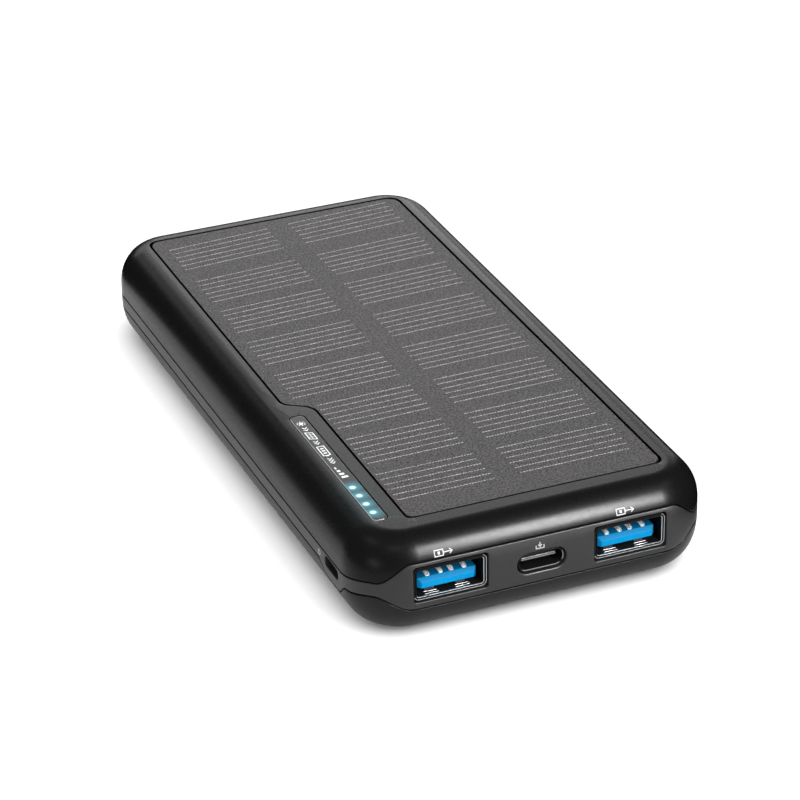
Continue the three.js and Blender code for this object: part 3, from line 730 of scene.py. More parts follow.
def top_shell():
    body = Body()
    face = [upper_seam(distance) + SEAM_GAP / 2 for distance in RING]
    tip = [z - SEAM_GAP / 2 - LIP_REACH * (1 - 0.96 * near_button(distance))
           for z, distance in zip(face, RING)]
    root = [min(z + LIP_ROOT, CAVITY_TOP - 0.4) for z in face]
    lip_depth = SHELL_WALL + LIP_THICKNESS

    ceiling = [CAVITY_TOP] * len(RING)
    rings = [
        body.ring(ceiling, SHELL_WALL),
        body.ring([z + 0.15 for z in root], SHELL_WALL),
        body.ring(root, lip_depth),
        body.ring(tip, lip_depth),
        body.ring(tip, SHELL_WALL),
        body.ring(face, SHELL_WALL),
    ]
    for up, inward in reversed(round_over(SEAM_EDGE)):
        rings.append(body.ring([z + up for z in face], inward))
    last_inset = 4.6
    last_parameter = math.acos(1 - last_inset / TOP_RIM["inset"])
    rows = 24
    for row in range(1, rows + 1):
        heights = []
        for z in face:
            start = rim_parameter(z + SEAM_EDGE)
            heights.append(rim_height(start + (last_parameter - start) * row / rows))
        rings.append(body.ring(heights, 0))
    body.skin(rings)

    panel_rim, panel_floor = sink_pocket(body, panel_outline_at(PANEL_GAP / 2), 0.08, POCKET_FLOOR)
    window_rim, window_floor = sink_pocket(body, window_outline, 0.08, HEIGHT - WINDOW["depth"])
    outer = rings[-1]
    outer_flat = body.flat(outer)
    loose = []
    for inset in (4.95, 5.3, 5.6, TOP_RIM["inset"]):
        for distance in RING:
            x, y, normal_x, normal_y = place_at(distance)
            loose.append((x - normal_x * inset, y - normal_y * inset))
    loose = clear_points(loose, [panel_rim[1], window_rim[1]], 0.14)
    body.fill([(outer, outer_flat), panel_rim, window_rim], loose, lambda x, y: (x, y, top_height(x, y)))

    wires = rounded_rectangle(WIRE_SLOT["x"], WIRE_SLOT["y"], WIRE_SLOT["width"], WIRE_SLOT["length"], 0.4)
    wire_top, wire_bottom = shaft(body, wires, (POCKET_FLOOR, CAVITY_TOP))
    lamps = rounded_rectangle(LIGHT_X, sum(LIGHT_YS) / 4, *LIGHT_SLOT, 0.4)
    lamp_top, lamp_bottom = shaft(body, lamps, (HEIGHT - WINDOW["depth"], CAVITY_TOP))
    body.fill([panel_floor, wire_top])
    body.fill([window_floor, lamp_top])
    bosses = [screw_boss(body, side) for side in (-1, 1)]
    ceiling_flat = body.flat(rings[0])
    body.fill([(rings[0], ceiling_flat), wire_bottom, lamp_bottom, *bosses])
    make_piece("top_shell_outer", body, [TOP_SHELL, GAP_SHADE], replaces=["top_shell"])


def panel_outline_at(base):
    return lambda grow: panel_outline(base + grow)


def screw_boss(body, side):
    """A boss that hangs from the ceiling and takes a board screw. Gives its foot's loop."""
    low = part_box("main_board")[1].z / MM + 0.1
    screw_low, screw_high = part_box("board_screw_left" if side < 0 else "board_screw_right")
    middle = (screw_low + screw_high) / 2 / MM
    sections = [(2.3, CAVITY_TOP), (2.3, low), (1.0, low), (1.0, POCKET_FLOOR - 0.3)]
    loops = [body.loop([(x, y, z) for x, y in circle(middle.x, middle.y, radius)]) for radius, z in sections]
    body.skin(loops)
    body.fill([(loops[-1], circle(middle.x, middle.y, 1.0))])
    return loops[0], circle(middle.x, middle.y, 2.3)


def bottom_shell():
    body = Body()
    face = [lower_seam(distance) - SEAM_GAP / 2 for distance in RING]
    tip = [z + SEAM_GAP / 2 + LIP_REACH for z in face]
    root = [z - LIP_ROOT for z in face]
    lip_depth = SHELL_WALL + LIP_THICKNESS
    power = BASE_RIM["power"]

    rings = [body.ring([CAVITY_FLOOR + (z - CAVITY_FLOOR) * share for z in root], SHELL_WALL)
             for share in (0, 0.15, 0.4, 0.7, 0.92)]
    for heights, depth in ((root, lip_depth), (tip, lip_depth), (tip, SHELL_WALL), (face, SHELL_WALL)):
        rings.append(body.ring(heights, depth))
    for down, inward in reversed(round_over(SEAM_EDGE)):
        rings.append(body.ring([z - down for z in face], inward))
    rows = 22
    for row in range(1, rows + 1):
        heights = []
        for z in face:
            reach = (BASE_RIM["rise"] - z + SEAM_EDGE) / BASE_RIM["rise"]
            start = math.asin(max(reach, 0) ** (power / 2))
            angle = start + (math.pi / 2 - start) * row / rows
            heights.append(BASE_RIM["rise"] * (1 - math.sin(angle) ** (2 / power)))
        rings.append(body.ring(heights, 0))
    body.skin(rings)
    for end in (rings[0], rings[-1]):
        body.fill([(end, body.flat(end))])
    make_piece("bottom_shell_outer", body, [BASE_SHELL], replaces=["bottom_shell"])


def port_x(index):
    return PORT_X + (index - 1) * PORT_PITCH


def band_openings():
    """The outline of each opening in the band, in distance round the body and height."""
    a, c, b = USB_A_CUT, USB_C_CUT, BUTTON
    button_at = -(SIDE_START + b["y"] + CORNER_Y)
    openings = []
    for index in (0, 2):
        openings.append(lambda grow, x=port_x(index): rounded_rectangle(
            x, a["z"], a["width"], a["height"], a["radius"], grow=grow))
    openings.append(lambda grow: rounded_rectangle(
        PORT_X, c["z"], c["width"], c["height"], c["radius"], 12, grow))
    openings.append(lambda grow: rounded_rectangle(
        button_at, b["z"], b["length"], b["height"], b["radius"], grow=grow))
    return openings


def middle_band():
    body = Body()
    low = [lower_seam(distance) + SEAM_GAP / 2 for distance in RING]
    high = [upper_seam(distance) - SEAM_GAP / 2 for distance in RING]

    def edge(heights, direction):
        """Rounds one edge of the band. Gives its outer and inner loops."""
        outer = [body.ring([z + direction * away for z in heights], inward)
                 for away, inward in round_over(SEAM_EDGE)]
        inner = body.ring(heights, BAND_WALL)
        body.skin([*outer, inner])
        return outer[0], inner

    low_outer, low_inner = edge(low, 1)
    high_outer, high_inner = edge(high, -1)

    openings = band_openings()
    cut_edges = [0.14, 0.14, 0.3, 0.12]
    outer_holes = []
    inner_holes = []
    for outline, radius in zip(openings, cut_edges):
        loops = []
        for outward, inward in round_over(radius):
            loops.append(body.loop([surface(u, z, inward) for u, z in outline(outward)]))
        inner = body.loop([surface(u, z, BAND_WALL) for u, z in outline(0)])
        body.skin([*loops, inner])
        outer_holes.append((loops[0], outline(radius)))
        inner_holes.append((inner, outline(0)))

    seam_start = -BACK_MIDDLE
    rows = 9
    for lower, upper, holes, depth in (
        (low_outer, high_outer, outer_holes, 0.0), (low_inner, high_inner, inner_holes, BAND_WALL),
    ):
        columns = [seam_start, *RING]
        bottoms = [body.points[index][2] for index in (lower[-1], *lower)]
        tops = [body.points[index][2] for index in (upper[-1], *upper)]
        ids = [lower[-1], *lower, *reversed(upper), upper[-1]]
        flat = list(zip(columns, bottoms)) + list(zip(reversed(columns), reversed(tops)))
        loose = [(u, z0 + (z1 - z0) * row / rows)
                 for u, z0, z1 in zip(columns, bottoms, tops) for row in range(1, rows)]
        loose = clear_points(loose, [outline for _, outline in holes], 0.22)
        body.fill([(ids, flat), *holes], loose, lambda u, z, d=depth: surface(u, z, d))
    make_piece("middle_band_outer", body, [BAND], replaces=["middle_band"])


# ------------------------------------------------------------------ solar panel

def slab(body, outline, bottom, top, edge, finish=0, side_finish=None):
    """A plate with a rounded upper edge. outline(grow) gives its flat points."""
    side_finish = finish if side_finish is None else side_finish
    base = body.loop([(x, y, bottom) for x, y in outline(0)])
    loops = [base]
    for outward, inward in reversed(round_over(edge)):
        loops.append(body.loop([(x, y, top - inward) for x, y in outline(-outward)]))
    body.skin(loops, side_finish)
    body.fill([(loops[-1], outline(-edge))], finish=finish)
    body.fill([(base, outline(0))], finish=side_finish)


def solar_panel():
    top = HEIGHT - PANEL_RECESS
    body = Body()
    # The panel's rounded edge and sides take SHADED: painted shade in the gap round it.
    slab(body, panel_outline_at(-PANEL_GAP / 2), top - PANEL_THICKNESS, top, 0.08, 0, SHADED)
    make_piece("solar_panel_film", body, [SOLAR, GAP_SHADE], replaces=["solar_panel"])


GRID_COLUMNS = [(-24.5, -2.5), (2.0, 24.25)]
GRID_NOTCH_START = -21.5
GRID_ROW_BACKS = [59.25, 43.2, 28.7, 13.8, -1.1, -15.6, -30.1, -44.4]
GRID_LINES = 6
GRID_LINE_PITCH = 1.95
DASH = {"pitch": 0.57, "length": 0.42, "width": 0.22, "height": 0.03}


def bar(body, left, right, front, back, bottom, top):
    """A small bar whose upper edges lean in."""
    lean = (top - bottom) * 0.6
    loops = []
    for z, inset in ((bottom, 0), (top, lean)):
        west, east, south, north = left + inset, right - inset, front + inset, back - inset
        loops.append(body.loop([(west, south, z), (east, south, z), (east, north, z), (west, north, z)]))
    body.capped(loops)


def solar_grid():
    """Silver collector lines: rows of fine dashes printed on the cells."""
    body = Body()
    top = HEIGHT - PANEL_RECESS
    draw = random.Random(5)
    for row, row_back in enumerate(GRID_ROW_BACKS):
        lean = 0.068 * (row_back + 50) / 110
        for column, (left, right) in enumerate(GRID_COLUMNS):
            start = GRID_NOTCH_START if column == 0 and row >= 5 else left
            for line in range(GRID_LINES):
                y = row_back - line * GRID_LINE_PITCH
                x = start + draw.uniform(0, 0.3)
                while x < right - DASH["length"]:
                    middle = y + lean * x
                    reach = DASH["length"] * draw.uniform(0.85, 1.2)
                    half = DASH["width"] / 2 * draw.uniform(0.8, 1.1)
                    bar(body, x, x + reach, middle - half, middle + half, top - 0.02, top + DASH["height"])
                    x += DASH["pitch"]
    make_piece("solar_grid_lines", body, [SILVER_LINE], weighted=False)


# ------------------------------------------------------------------ status window

def status_window():
    body = Body()
    top = HEIGHT - 0.03
    bottom = HEIGHT - WINDOW["depth"] + 0.1
    slab(body, lambda grow: window_outline(grow - 0.12), bottom, top, 0.1, 0, 2)
    # The rounded top edge along the left side and at the front takes finish 1: a painted bright line that
    # glows, as if the lamps lit it from inside.
    middle = WINDOW["x"]
    front = WINDOW["y"] - WINDOW["length"] / 2 + WINDOW["radius"]
    for index, corners in enumerate(body.faces):
        if body.finishes[index] != 2 or any(body.points[corner][2] < top - 0.11 for corner in corners):
            continue
        x = sum(body.points[corner][0] for corner in corners) / len(corners)
        y = sum(body.points[corner][1] for corner in corners) / len(corners)
        on_left = x < middle - WINDOW["width"] / 2 + 0.4 and y < WINDOW["y"] + WINDOW["length"] / 2 - 3.0
        if on_left or (y < front and x < middle + 0.4):
            body.finishes[index] = 1
    make_piece("status_window_lens", body, [LENS, LENS_EDGE, LENS_SIDE],
               replaces=["status_window"])


# ------------------------------------------------------------------ printed pictograms

class Print:
    """Flat marks with a little thickness. lift(s, t, height) puts a mark's point on the surface."""

    def __init__(self, lift, width):
        self.body = Body()
        self.lift = lift
        self.width = width

    def line(self, *points, closed=False, width=None):
        half = (width or self.width) / 2
        places = [Vector(point) for point in points]
        count = len(places)
        sections = []
        for index, place in enumerate(places):
            before = places[index - 1] if closed or index else None
            after = places[(index + 1) % count] if closed or index + 1 < count else None
            ways = [(b - a).normalized() for a, b in ((before, place), (place, after)) if a and b]
            way = sum(ways, Vector((0, 0))).normalized()
            across = Vector((-way.y, way.x))
            reach = half / max(across.dot(Vector((-ways[0].y, ways[0].x))), 0.3)
            left, right = place + across * reach, place - across * reach
            sections.append(self.body.loop([
                self.lift(left.x, left.y, -0.03), self.lift(left.x, left.y, 0.025),
                self.lift(right.x, right.y, 0.025), self.lift(right.x, right.y, -0.03),
            ]))
        if closed:
            self.body.skin([*sections, sections[0]])
        else:
            self.body.capped(sections)

    def area(self, *points):
        self.body.capped([self.body.loop([self.lift(s, t, height) for s, t in points])
                          for height in (-0.03, 0.025)])


def draw_sun(marks, s, t, size):
    marks.area(*circle(s, t, size * 0.24, 16))
    for ray in range(8):
        angle = math.pi / 4 * ray
        way = Vector((math.cos(angle), math.sin(angle)))
        marks.line(Vector((s, t)) + way * size * 0.34, Vector((s, t)) + way * size * 0.5)


def draw_chevron(marks, s, t, size):
    marks.line((s - size * 0.3, t + size / 2), (s + size * 0.3, t), (s - size * 0.3, t - size / 2))


def draw_box(marks, s, t, length, height, lean=0.0):
    half, rise = length / 2, height / 2
    marks.line((s - half - lean, t - rise), (s + half - lean, t - rise),
               (s + half + lean, t + rise), (s - half + lean, t + rise), closed=True)


def draw_battery(marks, s, t, length, height, bars):
    draw_box(marks, s, t, length, height)
    terminal = s + length / 2 + marks.width * 1.2
    marks.line((terminal, t - height * 0.22), (terminal, t + height * 0.22))
    for index in range(bars):
        at = s - length / 2 + length * (index + 1) / (bars + 1)
        marks.line((at, t - height * 0.24), (at, t + height * 0.24), width=length / (bars + 1) * 0.5)


def window_prints():
    """Sun, panel, arrows, battery and rising bars, in white along the status window."""
    top = HEIGHT - 0.03
    start_y = -20.6
    middle_x = -26.62
    marks = Print(lambda s, t, height: (middle_x + t, start_y - s, top + height), 0.2)
    draw_sun(marks, 0.9, 0, 1.7)
    for index in range(2):
        draw_chevron(marks, 2.75 + 0.75 * index, 0, 0.9)
    draw_box(marks, 5.9, 0, 2.5, 1.3, 0.25)
    for offset in (-0.42, 0.42):
        marks.line((5.9 + offset - 0.17, -0.5), (5.9 + offset + 0.17, 0.5), width=0.13)
    marks.line((4.95, 0), (6.85, 0), width=0.13)
    for index in range(2):
        draw_chevron(marks, 8.3 + 0.75 * index, 0, 0.9)
    draw_battery(marks, 12.0, 0, 3.5, 1.3, 3)
    for index in range(3):
        draw_chevron(marks, 15.2 + 0.75 * index, 0, 0.9)
    for index in range(4):
        left, right = 18.5 + 1.15 * index, 19.15 + 1.15 * index
        rise = -0.6 + 0.3 * (index + 1)
        marks.area((left, -0.6), (right, -0.6), (right, rise), (left, rise))
    make_piece("status_pictograms", marks.body, [WHITE_INK_PAINTED_GLOW], weighted=False)


def front_prints():
    """Small marks at the ports: charge going out over each USB-A, and coming in over the USB-C."""
    for name, centre, z in (("left", -18.75, 16.3), ("right", 15.95, 16.3)):
        marks = Print(lambda s, t, height, c=centre, z=z: surface(c + s, z + t, -height), 0.14)
        draw_battery(marks, -0.95, 0, 1.6, 0.95, 1)
        marks.line((0.15, 0), (1.45, 0))
        marks.line((1.05, 0.38), (1.55, 0), (1.05, -0.38))
        make_piece(f"output_mark_{name}", marks.body, [WHITE_INK_PAINTED_GLOW], weighted=False)
    marks = Print(lambda s, t, height: surface(-0.9 + s, 13.72 + t, -height), 0.18)
    marks.line((0, 0.62), (0, 0))
    marks.line((-0.36, 0.18), (0, -0.2), (0.36, 0.18))
    marks.line((-0.75, 0.05), (-0.75, -0.52), (0.75, -0.52), (0.75, 0.05))
    make_piece("input_mark", marks.body, [GREY_INK_PAINTED_GLOW], weighted=False)
    button_at = -(SIDE_START - 48.45 + CORNER_Y)
    marks = Print(lambda s, t, height: surface(button_at + s, 9.1 + t, -height), 0.16)
    arc = [math.radians(120 + 300 * step / 14) for step in range(15)]
    marks.line(*[(0.48 * math.cos(angle), 0.48 * math.sin(angle)) for angle in arc])
    marks.line((0, 0.12), (0, 0.6))
    make_piece("power_mark", marks.body, [GREY_INK_PAINTED_GLOW], weighted=False)


# ------------------------------------------------------------------ ports

def section_loop(body, outline, y):
    return body.loop([(x, y, z) for x, z in outline])


def paint_shade_on_beads(body, centre_x, centre_z, width, height):
    """Paints shade on the beads at the top and left of the mouth, with the near-black SHADED finish; only
    the beads that face up, along the foot of the mouth, and those at its right end keep the bright finish.
    """
    for index in range(len(body.faces)):
        if body.finishes[index] != BEAD_LIT_OR_PAINTED_SHADE:
            continue
        corners = [body.points[corner] for corner in body.faces[index]]
        x = sum(corner[0] for corner in corners) / len(corners) - centre_x
        z = sum(corner[2] for corner in corners) / len(corners) - centre_z
        body.finishes[index] = 0 if z < -0.46 * height or x > 0.485 * width else SHADED


def socket_tube(x, z, mouth, radius, steps, profile):
    """A tube round a profile of (outward, depth, finish), with painted shade on all its beads but those at
    the foot and the right end of the mouth.
    """
    body = Body()
    loops = []
    for outward, depth, _ in profile:
        outline = rounded_rectangle(x, z, *mouth, radius, steps, outward)
        loops.append(section_loop(body, outline, PORT_FACE + depth))
    for index, (_, _, finish) in enumerate(profile):
        body.bridge(loops[index], loops[(index + 1) % len(loops)], finish)
    paint_shade_on_beads(body, x, z, *mouth)
    return body


def usb_a_shell(side, x):
    """Folded steel shell: a double-beaded flange, a groove, and the socket's tube."""
    z = USB_A_CUT["z"]
    tube = (12.5, 5.12)
    # Finish 1 paints shade: the bore, the groove and the flange face take the near-black shaded material.
    # Finish 2 marks the beads.
    profile = [
        (0.0, 13.8, 1), (0.0, 0.40, 1), (0.0, 0.16, 2), (0.04, 0.04, 2), (0.10, 0.02, 1), (0.15, 0.08, 1),
        (0.20, 0.24, 1), (0.42, 0.24, 1), (0.46, 0.10, 2), (0.51, 0.01, 2), (0.56, 0.01, 1), (0.59, 0.06, 1),
        (0.6, 0.18, 1), (0.6, 0.35, 1), (0.3, 0.35, 1), (0.3, 13.8, 1),
    ]
    body = socket_tube(x, z, tube, 0.35, 5, profile)
    make_piece(f"usb_a_socket_{side}", body, [STEEL, SHADE_PAINTED_STEEL],
               replaces=[f"usb_a_shell_{side}"])


def rod(body, ends, y, z, radius, finish=0):
    """A thin rod along X between two ends, eight-sided."""
    angles = [math.pi / 4 * step for step in range(8)]
    rim = [(y + radius * math.cos(angle), z + radius * math.sin(angle)) for angle in angles]
    body.capped([body.loop([(x, across, up) for across, up in rim]) for x in ends], finish)


def usb_a_springs(side, x):
    """Two spring fingers rise from the shell's floor, each behind the bright lips of its window."""
    floor = USB_A_CUT["z"] - 2.56
    body = Body()
    half = 0.85
    rows = [(1.75, 0.02), (2.0, 0.14), (2.5, 0.42), (3.0, 0.55), (3.8, 0.52), (5.6, 0.05)]
    for offset in (-3.3, 2.6):
        centre = x + offset
        sections = []
        for depth, rise in rows:
            y = PORT_FACE + depth
            low, high = floor + rise, floor + rise + 0.18
            sections.append(body.loop([(centre - half, y, low), (centre - half, y, high),
                                       (centre + half, y, high), (centre + half, y, low)]))
        body.capped(sections)
        for depth, reach in ((0.62, 1.3), (1.35, 1.2)):
            rod(body, (centre - reach, centre + reach), PORT_FACE + depth, floor + 0.03, 0.05, 1)
    make_piece(f"usb_a_springs_{side}", body, [SPRING_STEEL, STEEL])


def usb_a_tongue(side, x):
    """Blue tongue with chamfered front edges on a block that fills the back of the shell; the block is
    painted black, as shade at the back of the socket.
    """
    low, high = box_mm(f"usb_a_tongue_{side}")
    front = low.y
    bottom = USB_A_CUT["z"] - 2.56 + 0.85
    top = bottom + 1.84
    width = 11.1
    block_front = high.y - 4.2
    body = Body()

    def across(y, side_in, low_in, high_in, radius=0.12):
        height = top - bottom - low_in - high_in
        centre = (top - high_in + bottom + low_in) / 2
        return section_loop(body, rounded_rectangle(x, centre, width - 2 * side_in, height, radius, 4), y)

    wide = rounded_rectangle(x, USB_A_CUT["z"], 12.3, 4.9, 0.3, 4)
    blade = [
        across(front, 0.66, 0.10, 0.74),
        across(front + 0.05, 0.60, 0.04, 0.68),
        across(front + 0.66, 0.06, 0.0, 0.05),
        across(front + 0.75, 0.0, 0.0, 0.0),
        across(block_front, 0.0, 0.0, 0.0),
    ]
    root = [section_loop(body, wide, block_front), section_loop(body, wide, high.y)]
    body.skin(blade)
    # The block takes finish 1, black: painted shade, as the real insert is blue all through.
    body.skin([blade[-1], *root], 1)
    body.face(blade[0])
    body.face(root[-1], 1)
    make_piece(f"usb_a_insert_{side}", body, [BLUE_PAINTED_GLOW, BLACK],
               replaces=[f"usb_a_tongue_{side}"], sharp=24)


def usb_a_contacts(side):
    """Each contact is a sprung strip: a rolled tip, a crown, and a tail that sinks into the tongue."""
    for number in range(4):
        node = f"usb_a_contact_{side}_{number + 1}"
        low, high = box_mm(node)
        body = Body()
        sections = []
        half = 0.43
        bed = low.z - 0.05
        reach = high.y - low.y
        rows = [(0.0, 0.02), (0.18, 0.14), (0.5, 0.3), (1.2, 0.34), (2.2, 0.2), (3.4, 0.06), (reach, 0.02)]
        for depth, rise in rows:
            y = low.y + depth
            narrow = half * (0.7 if depth < 0.1 else 1)
            middle = (low.x + high.x) / 2
            sections.append(body.loop([
                (middle - narrow, y, bed + rise - 0.04), (middle - narrow, y, bed + rise + 0.10),
                (middle - narrow * 0.6, y, bed + rise + 0.15), (middle + narrow * 0.6, y, bed + rise + 0.15),
                (middle + narrow, y, bed + rise + 0.10), (middle + narrow, y, bed + rise - 0.04),
            ]))
        body.capped(sections)
        make_piece(f"{node}_strip", body, [CONTACT_PAINTED_GLOW], replaces=[node])


def usb_c_shell():
    """Rolled steel oval with a beaded mouth and two legs up to the board."""
    z = USB_C_CUT["z"]
    # Finish 1 paints shade on the bore and the mouth's face; finish 2 marks the beads.
    profile = [
        (0.0, 7.3, 1), (0.0, 0.62, 1), (0.0, 0.50, 1), (0.0, 0.16, 1), (0.02, 0.08, 2), (0.06, 0.02, 2),
        (0.10, 0.0, 1), (0.17, 0.0, 2), (0.25, 0.05, 1), (0.29, 0.14, 1), (0.3, 0.3, 1), (0.3, 7.3, 1),
    ]
    mouth = (8.34, 2.9)
    body = socket_tube(PORT_X, z, mouth, 1.44, 12, profile)
    high = box_mm("usb_c_shell")[1]
    for side in (-1, 1):
        x = PORT_X + side * 4.5
        bar(body, x - 0.18, x + 0.18, high.y - 3.1, high.y - 1.3, z + 0.5, high.z)
    make_piece("usb_c_socket", body, [DULL_STEEL, SHADE_PAINTED_STEEL], replaces=["usb_c_shell"])


def usb_c_tongue():
    low, high = box_mm("usb_c_tongue")
    z = USB_C_CUT["z"]
    body = Body()
    wide = rounded_rectangle(PORT_X, z, 8.14, 2.7, 1.34, 8)
    rows = [(0.0, 0.12, 0.12), (0.06, 0.05, 0.04), (0.16, 0.0, 0.0), (high.y - low.y - 1.6, 0.0, 0.0)]
    loops = []
    for depth, ends, thin in rows:
        outline = rounded_rectangle(PORT_X, z, 6.7 - 2 * ends, 0.7 - 2 * thin, 0.15, 8)
        loops.append(section_loop(body, outline, low.y + depth))
    loops += [section_loop(body, wide, high.y - 1.6), section_loop(body, wide, high.y)]
    body.capped(loops)
    make_piece("usb_c_insert", body, [BLACK], replaces=["usb_c_tongue"])

    plate = Body()
    for number in range(12):
        x = PORT_X - 2.75 + 0.5 * number
        for top, bottom in ((z + 0.38, z + 0.3), (z - 0.3, z - 0.38)):
            bar(plate, x - 0.13, x + 0.13, low.y + 0.22, low.y + 3.0, bottom, top)
    make_piece("usb_c_contacts", plate, [DULL_STEEL])

    edge = Body()
    strip = []
    for depth, slim in ((0.1, 0.0), (-0.05, 0.0), (-0.1, 0.06)):
        outline = rounded_rectangle(PORT_X, z, 6.6 - 2 * slim, 0.24 - 2 * slim, 0.08, 4)
        strip.append(section_loop(edge, outline, low.y + depth))
    edge.capped(strip)
    make_piece("usb_c_shield_edge", edge, [DULL_STEEL])


def power_button():
    high = box_mm("power_button")[1]
    y, z = BUTTON["y"], BUTTON["z"]
    clearance = 0.22
    cap_front = -WIDTH / 2 + BUTTON["recess"]
    flange_front = -WIDTH / 2 + BAND_WALL + 0.25
    body = Body()

    def section(width, height, radius, x, grow=0.0):
        outline = rounded_rectangle(y, z, width, height, radius, 6, grow)
        return body.loop([(x, a, b) for a, b in outline])

    cap = (BUTTON["length"] - 2 * clearance, BUTTON["height"] - 2 * clearance, BUTTON["radius"] - clearance)
    loops = [section(*cap, cap_front + 0.05, -0.75), section(*cap, cap_front + 0.04, -0.55)]
    for inward, back in round_over(0.28):
        loops.append(section(*cap, cap_front + back, -inward))
    flange = (7.2, 2.6, 0.5)
    stem = (1.6, 1.6, 0.3)
    loops += [
        section(*cap, flange_front), section(*flange, flange_front), section(*flange, flange_front + 0.7),
        section(*stem, flange_front + 0.7), section(*stem, high.x),
    ]
    body.skin(loops)
    body.fill([(loops[0], rounded_rectangle(y, z, *cap, 6, -0.75))])
    body.face(loops[-1])
    make_piece("power_button_cap", body, [BUTTON_CAP], "button", ["power_button"])


# ------------------------------------------------------------------ inner parts keep their shapes

INNER_FINISHES = {
    "circuit_board": circuit_board(),
    "ferrite": moulded_plastic("ferrite_grey", (0.045, 0.046, 0.05), 0.6, 0.05),
    "pouch_foil": pouch_foil(),
    "foam": soft_foam("grey_foam", (0.03, 0.032, 0.034)),
    "tape": soft_foam("adhesive_tape", (0.05, 0.055, 0.06)),
    "red_wire": wire_cover("red_wire", (0.42, 0.012, 0.012)),
    "black_wire": wire_cover("black_wire", (0.012, 0.012, 0.012)),
    "clear_plastic": moulded_plastic("diffuser", (0.70, 0.78, 0.80), 0.4),
    "charge_lamp": print_ink("charge_lamp", (0.55, 0.92, 1.0), 1.5),
    "stainless": STEEL,
    "black_plastic": BLACK,
}
INNER_NODES = {
    "circuit_board": ["main_board", "protection_board"],
    "ferrite": ["boost_inductor_left", "boost_inductor_right"],
    "pouch_foil": ["battery_cell_lower", "battery_cell_upper"],
    "foam": ["base_foam_pad"],
    "tape": ["panel_adhesive", "cell_adhesive_pad"],
    "red_wire": ["battery_lead_positive", "solar_lead_positive"],
    "black_wire": ["battery_lead_negative", "solar_lead_negative"],
    "clear_plastic": ["light_guide"],
    "charge_lamp": [f"charge_light_{number}" for number in range(1, 5)],
    "stainless": ["board_screw_left", "board_screw_right", "tactile_switch"],
    "black_plastic": ["power_controller_chip", "charge_controller_chip", "output_capacitor_left",
                      "output_capacitor_right", "switch_plunger"],
}


def finish_inner_nodes():
    for finish, names in INNER_NODES.items():
        for name in names:
            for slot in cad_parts[name].material_slots:
                slot.material = INNER_FINISHES[finish]


# ------------------------------------------------------------------ studio

def direction(azimuth, elevation):
    """Unit vector towards the given azimuth, from -Y towards +X, and elevation."""
    a, e = math.radians(azimuth), math.radians(elevation)
    return Vector((math.sin(a) * math.cos(e), -math.cos(a) * math.cos(e), math.sin(e)))


def make_camera():
    azimuth, elevation = -22.34, 28.16
    roll = math.radians(0.90)
    target = Vector((0.35, -3.42, 9.85)) * MM
    distance = 634.96 * MM
    focal_length, film_width = 149.94, 36
    back = direction(azimuth, elevation)
    right = Vector((0, 0, 1)).cross(back).normalized()
    up = back.cross(right)
    across = right * math.cos(roll) - up * math.sin(roll)
    above = right * math.sin(roll) + up * math.cos(roll)
    data = bpy.data.cameras.new("camera")
    data.lens = focal_length
    data.sensor_width = film_width
    data.clip_end = 200
    camera = bpy.data.objects.new("camera", data)
    bpy.context.scene.collection.objects.link(camera)
    turn = Matrix((across, above, back)).transposed()
    camera.matrix_world = Matrix.Translation(target + back * distance) @ turn.to_4x4()
    bpy.context.scene.camera = camera


OBJECT_MIDDLE = Vector((0, 0, 10)) * MM
FRONT_EDGE = Vector((0, -66.5, 17)) * MM


def softbox(name, towards, distance, size, radiance, target=OBJECT_MIDDLE):
    """A rectangular light that faces its target and shows only as a highlight."""
    data = bpy.data.lights.new(name, "AREA")
    data.shape = "RECTANGLE"
    data.size, data.size_y = size
    data.energy = radiance * math.pi * size[0] * size[1]
    lamp = bpy.data.objects.new(name, data)
    bpy.context.scene.collection.objects.link(lamp)
    away = direction(*towards)
    aim = away.to_track_quat("Z", "Y").to_matrix().to_4x4()
    lamp.matrix_world = Matrix.Translation(target + away * distance) @ aim
    lamp.visible_camera = False
    lamp.visible_diffuse = False


WORLD_STRENGTH = 1.14
SUN_IRRADIANCE = math.pi
FLOOR_DROP = 0.05 * MM
PANEL_DISTANCE = 1.3
# Panels high at the sides: azimuth and elevation of each.
FILL_PANELS = [(-30, 52), (60, 52), (-100, 52)]
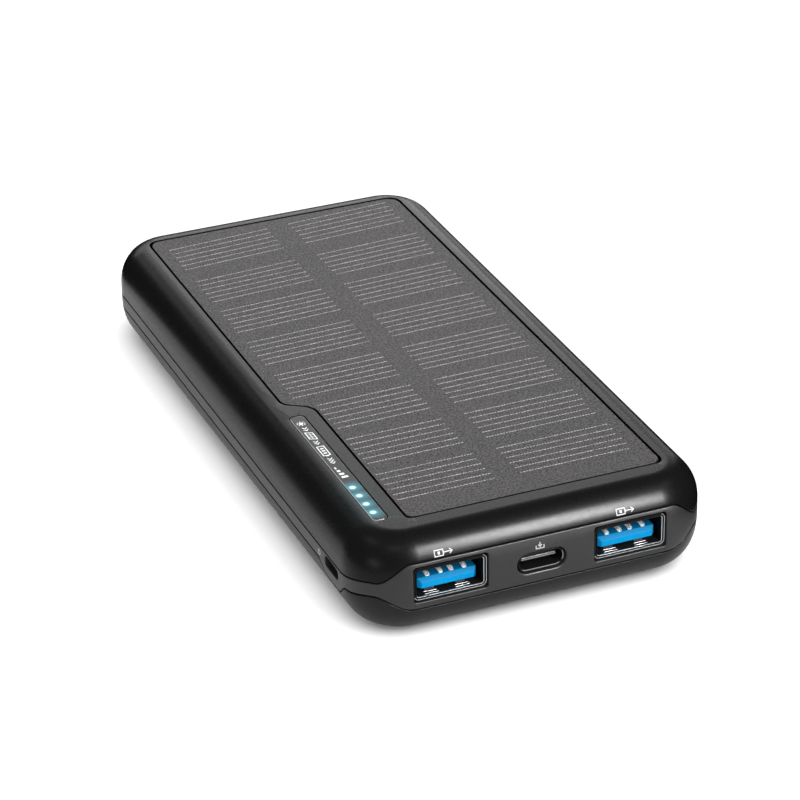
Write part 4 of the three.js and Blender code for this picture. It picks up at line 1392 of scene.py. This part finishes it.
# Panels behind the object that its edges and its flat top mirror: a bright one, dimmer ones
# beside and above it, and faint ones beside and below it. Each is an azimuth and an elevation.
BRIGHT, DIM, FAINT = 8.0, 3.5, 2.0
BACK_PANELS = {
    BRIGHT: [(156, 20)],
    DIM: [(172, 20), (188, 20), (156, 34), (172, 34)],
    FAINT: [(140, 20), (144, 3)],
}
BACK_PANEL_SIZE = (0.36, 0.30)
FILL_PANEL_SIZE = (0.5, 0.3)
FILL_RADIANCE = 4.0


def make_studio():
    scene = bpy.context.scene
    scene.view_settings.view_transform = "Standard"
    world = bpy.data.worlds.new("studio")
    world.use_nodes = True
    world.node_tree.nodes["Background"].inputs["Color"].default_value = (1, 1, 1, 1)
    world.node_tree.nodes["Background"].inputs["Strength"].default_value = WORLD_STRENGTH
    world.cycles_visibility.glossy = False
    scene.world = world

    sun_data = bpy.data.lights.new("overhead_sun", "SUN")
    sun_data.energy = SUN_IRRADIANCE
    sun_data.angle = math.radians(70)
    sun = bpy.data.objects.new("overhead_sun", sun_data)
    scene.collection.objects.link(sun)
    sun.matrix_world = direction(25, 58).to_track_quat("Z", "Y").to_matrix().to_4x4()
    sun.visible_glossy = False

    for radiance, places in BACK_PANELS.items():
        for place in places:
            softbox("back_panel_{}_{}".format(*place), place, PANEL_DISTANCE, BACK_PANEL_SIZE, radiance)
    for place in FILL_PANELS:
        softbox("fill_panel_{}_{}".format(*place), place, PANEL_DISTANCE, FILL_PANEL_SIZE, FILL_RADIANCE)
    softbox("front_strip", (26, 32.5), 0.2, (0.045, 0.085), 262.0, FRONT_EDGE)
    softbox("corner_panel", (-62, 6), 0.6, (0.16, 0.12), 9.0)

    left, right, front, back = -0.085, 0.045, -0.16, 0.10
    mesh = bpy.data.meshes.new("floor")
    corners = [(left, front, 0), (right, front, 0), (right, back, 0), (left, back, 0)]
    mesh.from_pydata(corners, [], [(0, 1, 2, 3)])
    mesh.materials.append(floor_paper())
    floor = bpy.data.objects.new("floor", mesh)
    floor.location.z = -FLOOR_DROP
    scene.collection.objects.link(floor)


top_shell()
middle_band()
bottom_shell()
solar_panel()
solar_grid()
status_window()
window_prints()
front_prints()
for side_name, port_index in (("left", 0), ("right", 2)):
    usb_a_shell(side_name, port_x(port_index))
    usb_a_springs(side_name, port_x(port_index))
    usb_a_tongue(side_name, port_x(port_index))
    usb_a_contacts(side_name)
usb_c_shell()
usb_c_tongue()
power_button()
finish_inner_nodes()
make_camera()
make_studio()
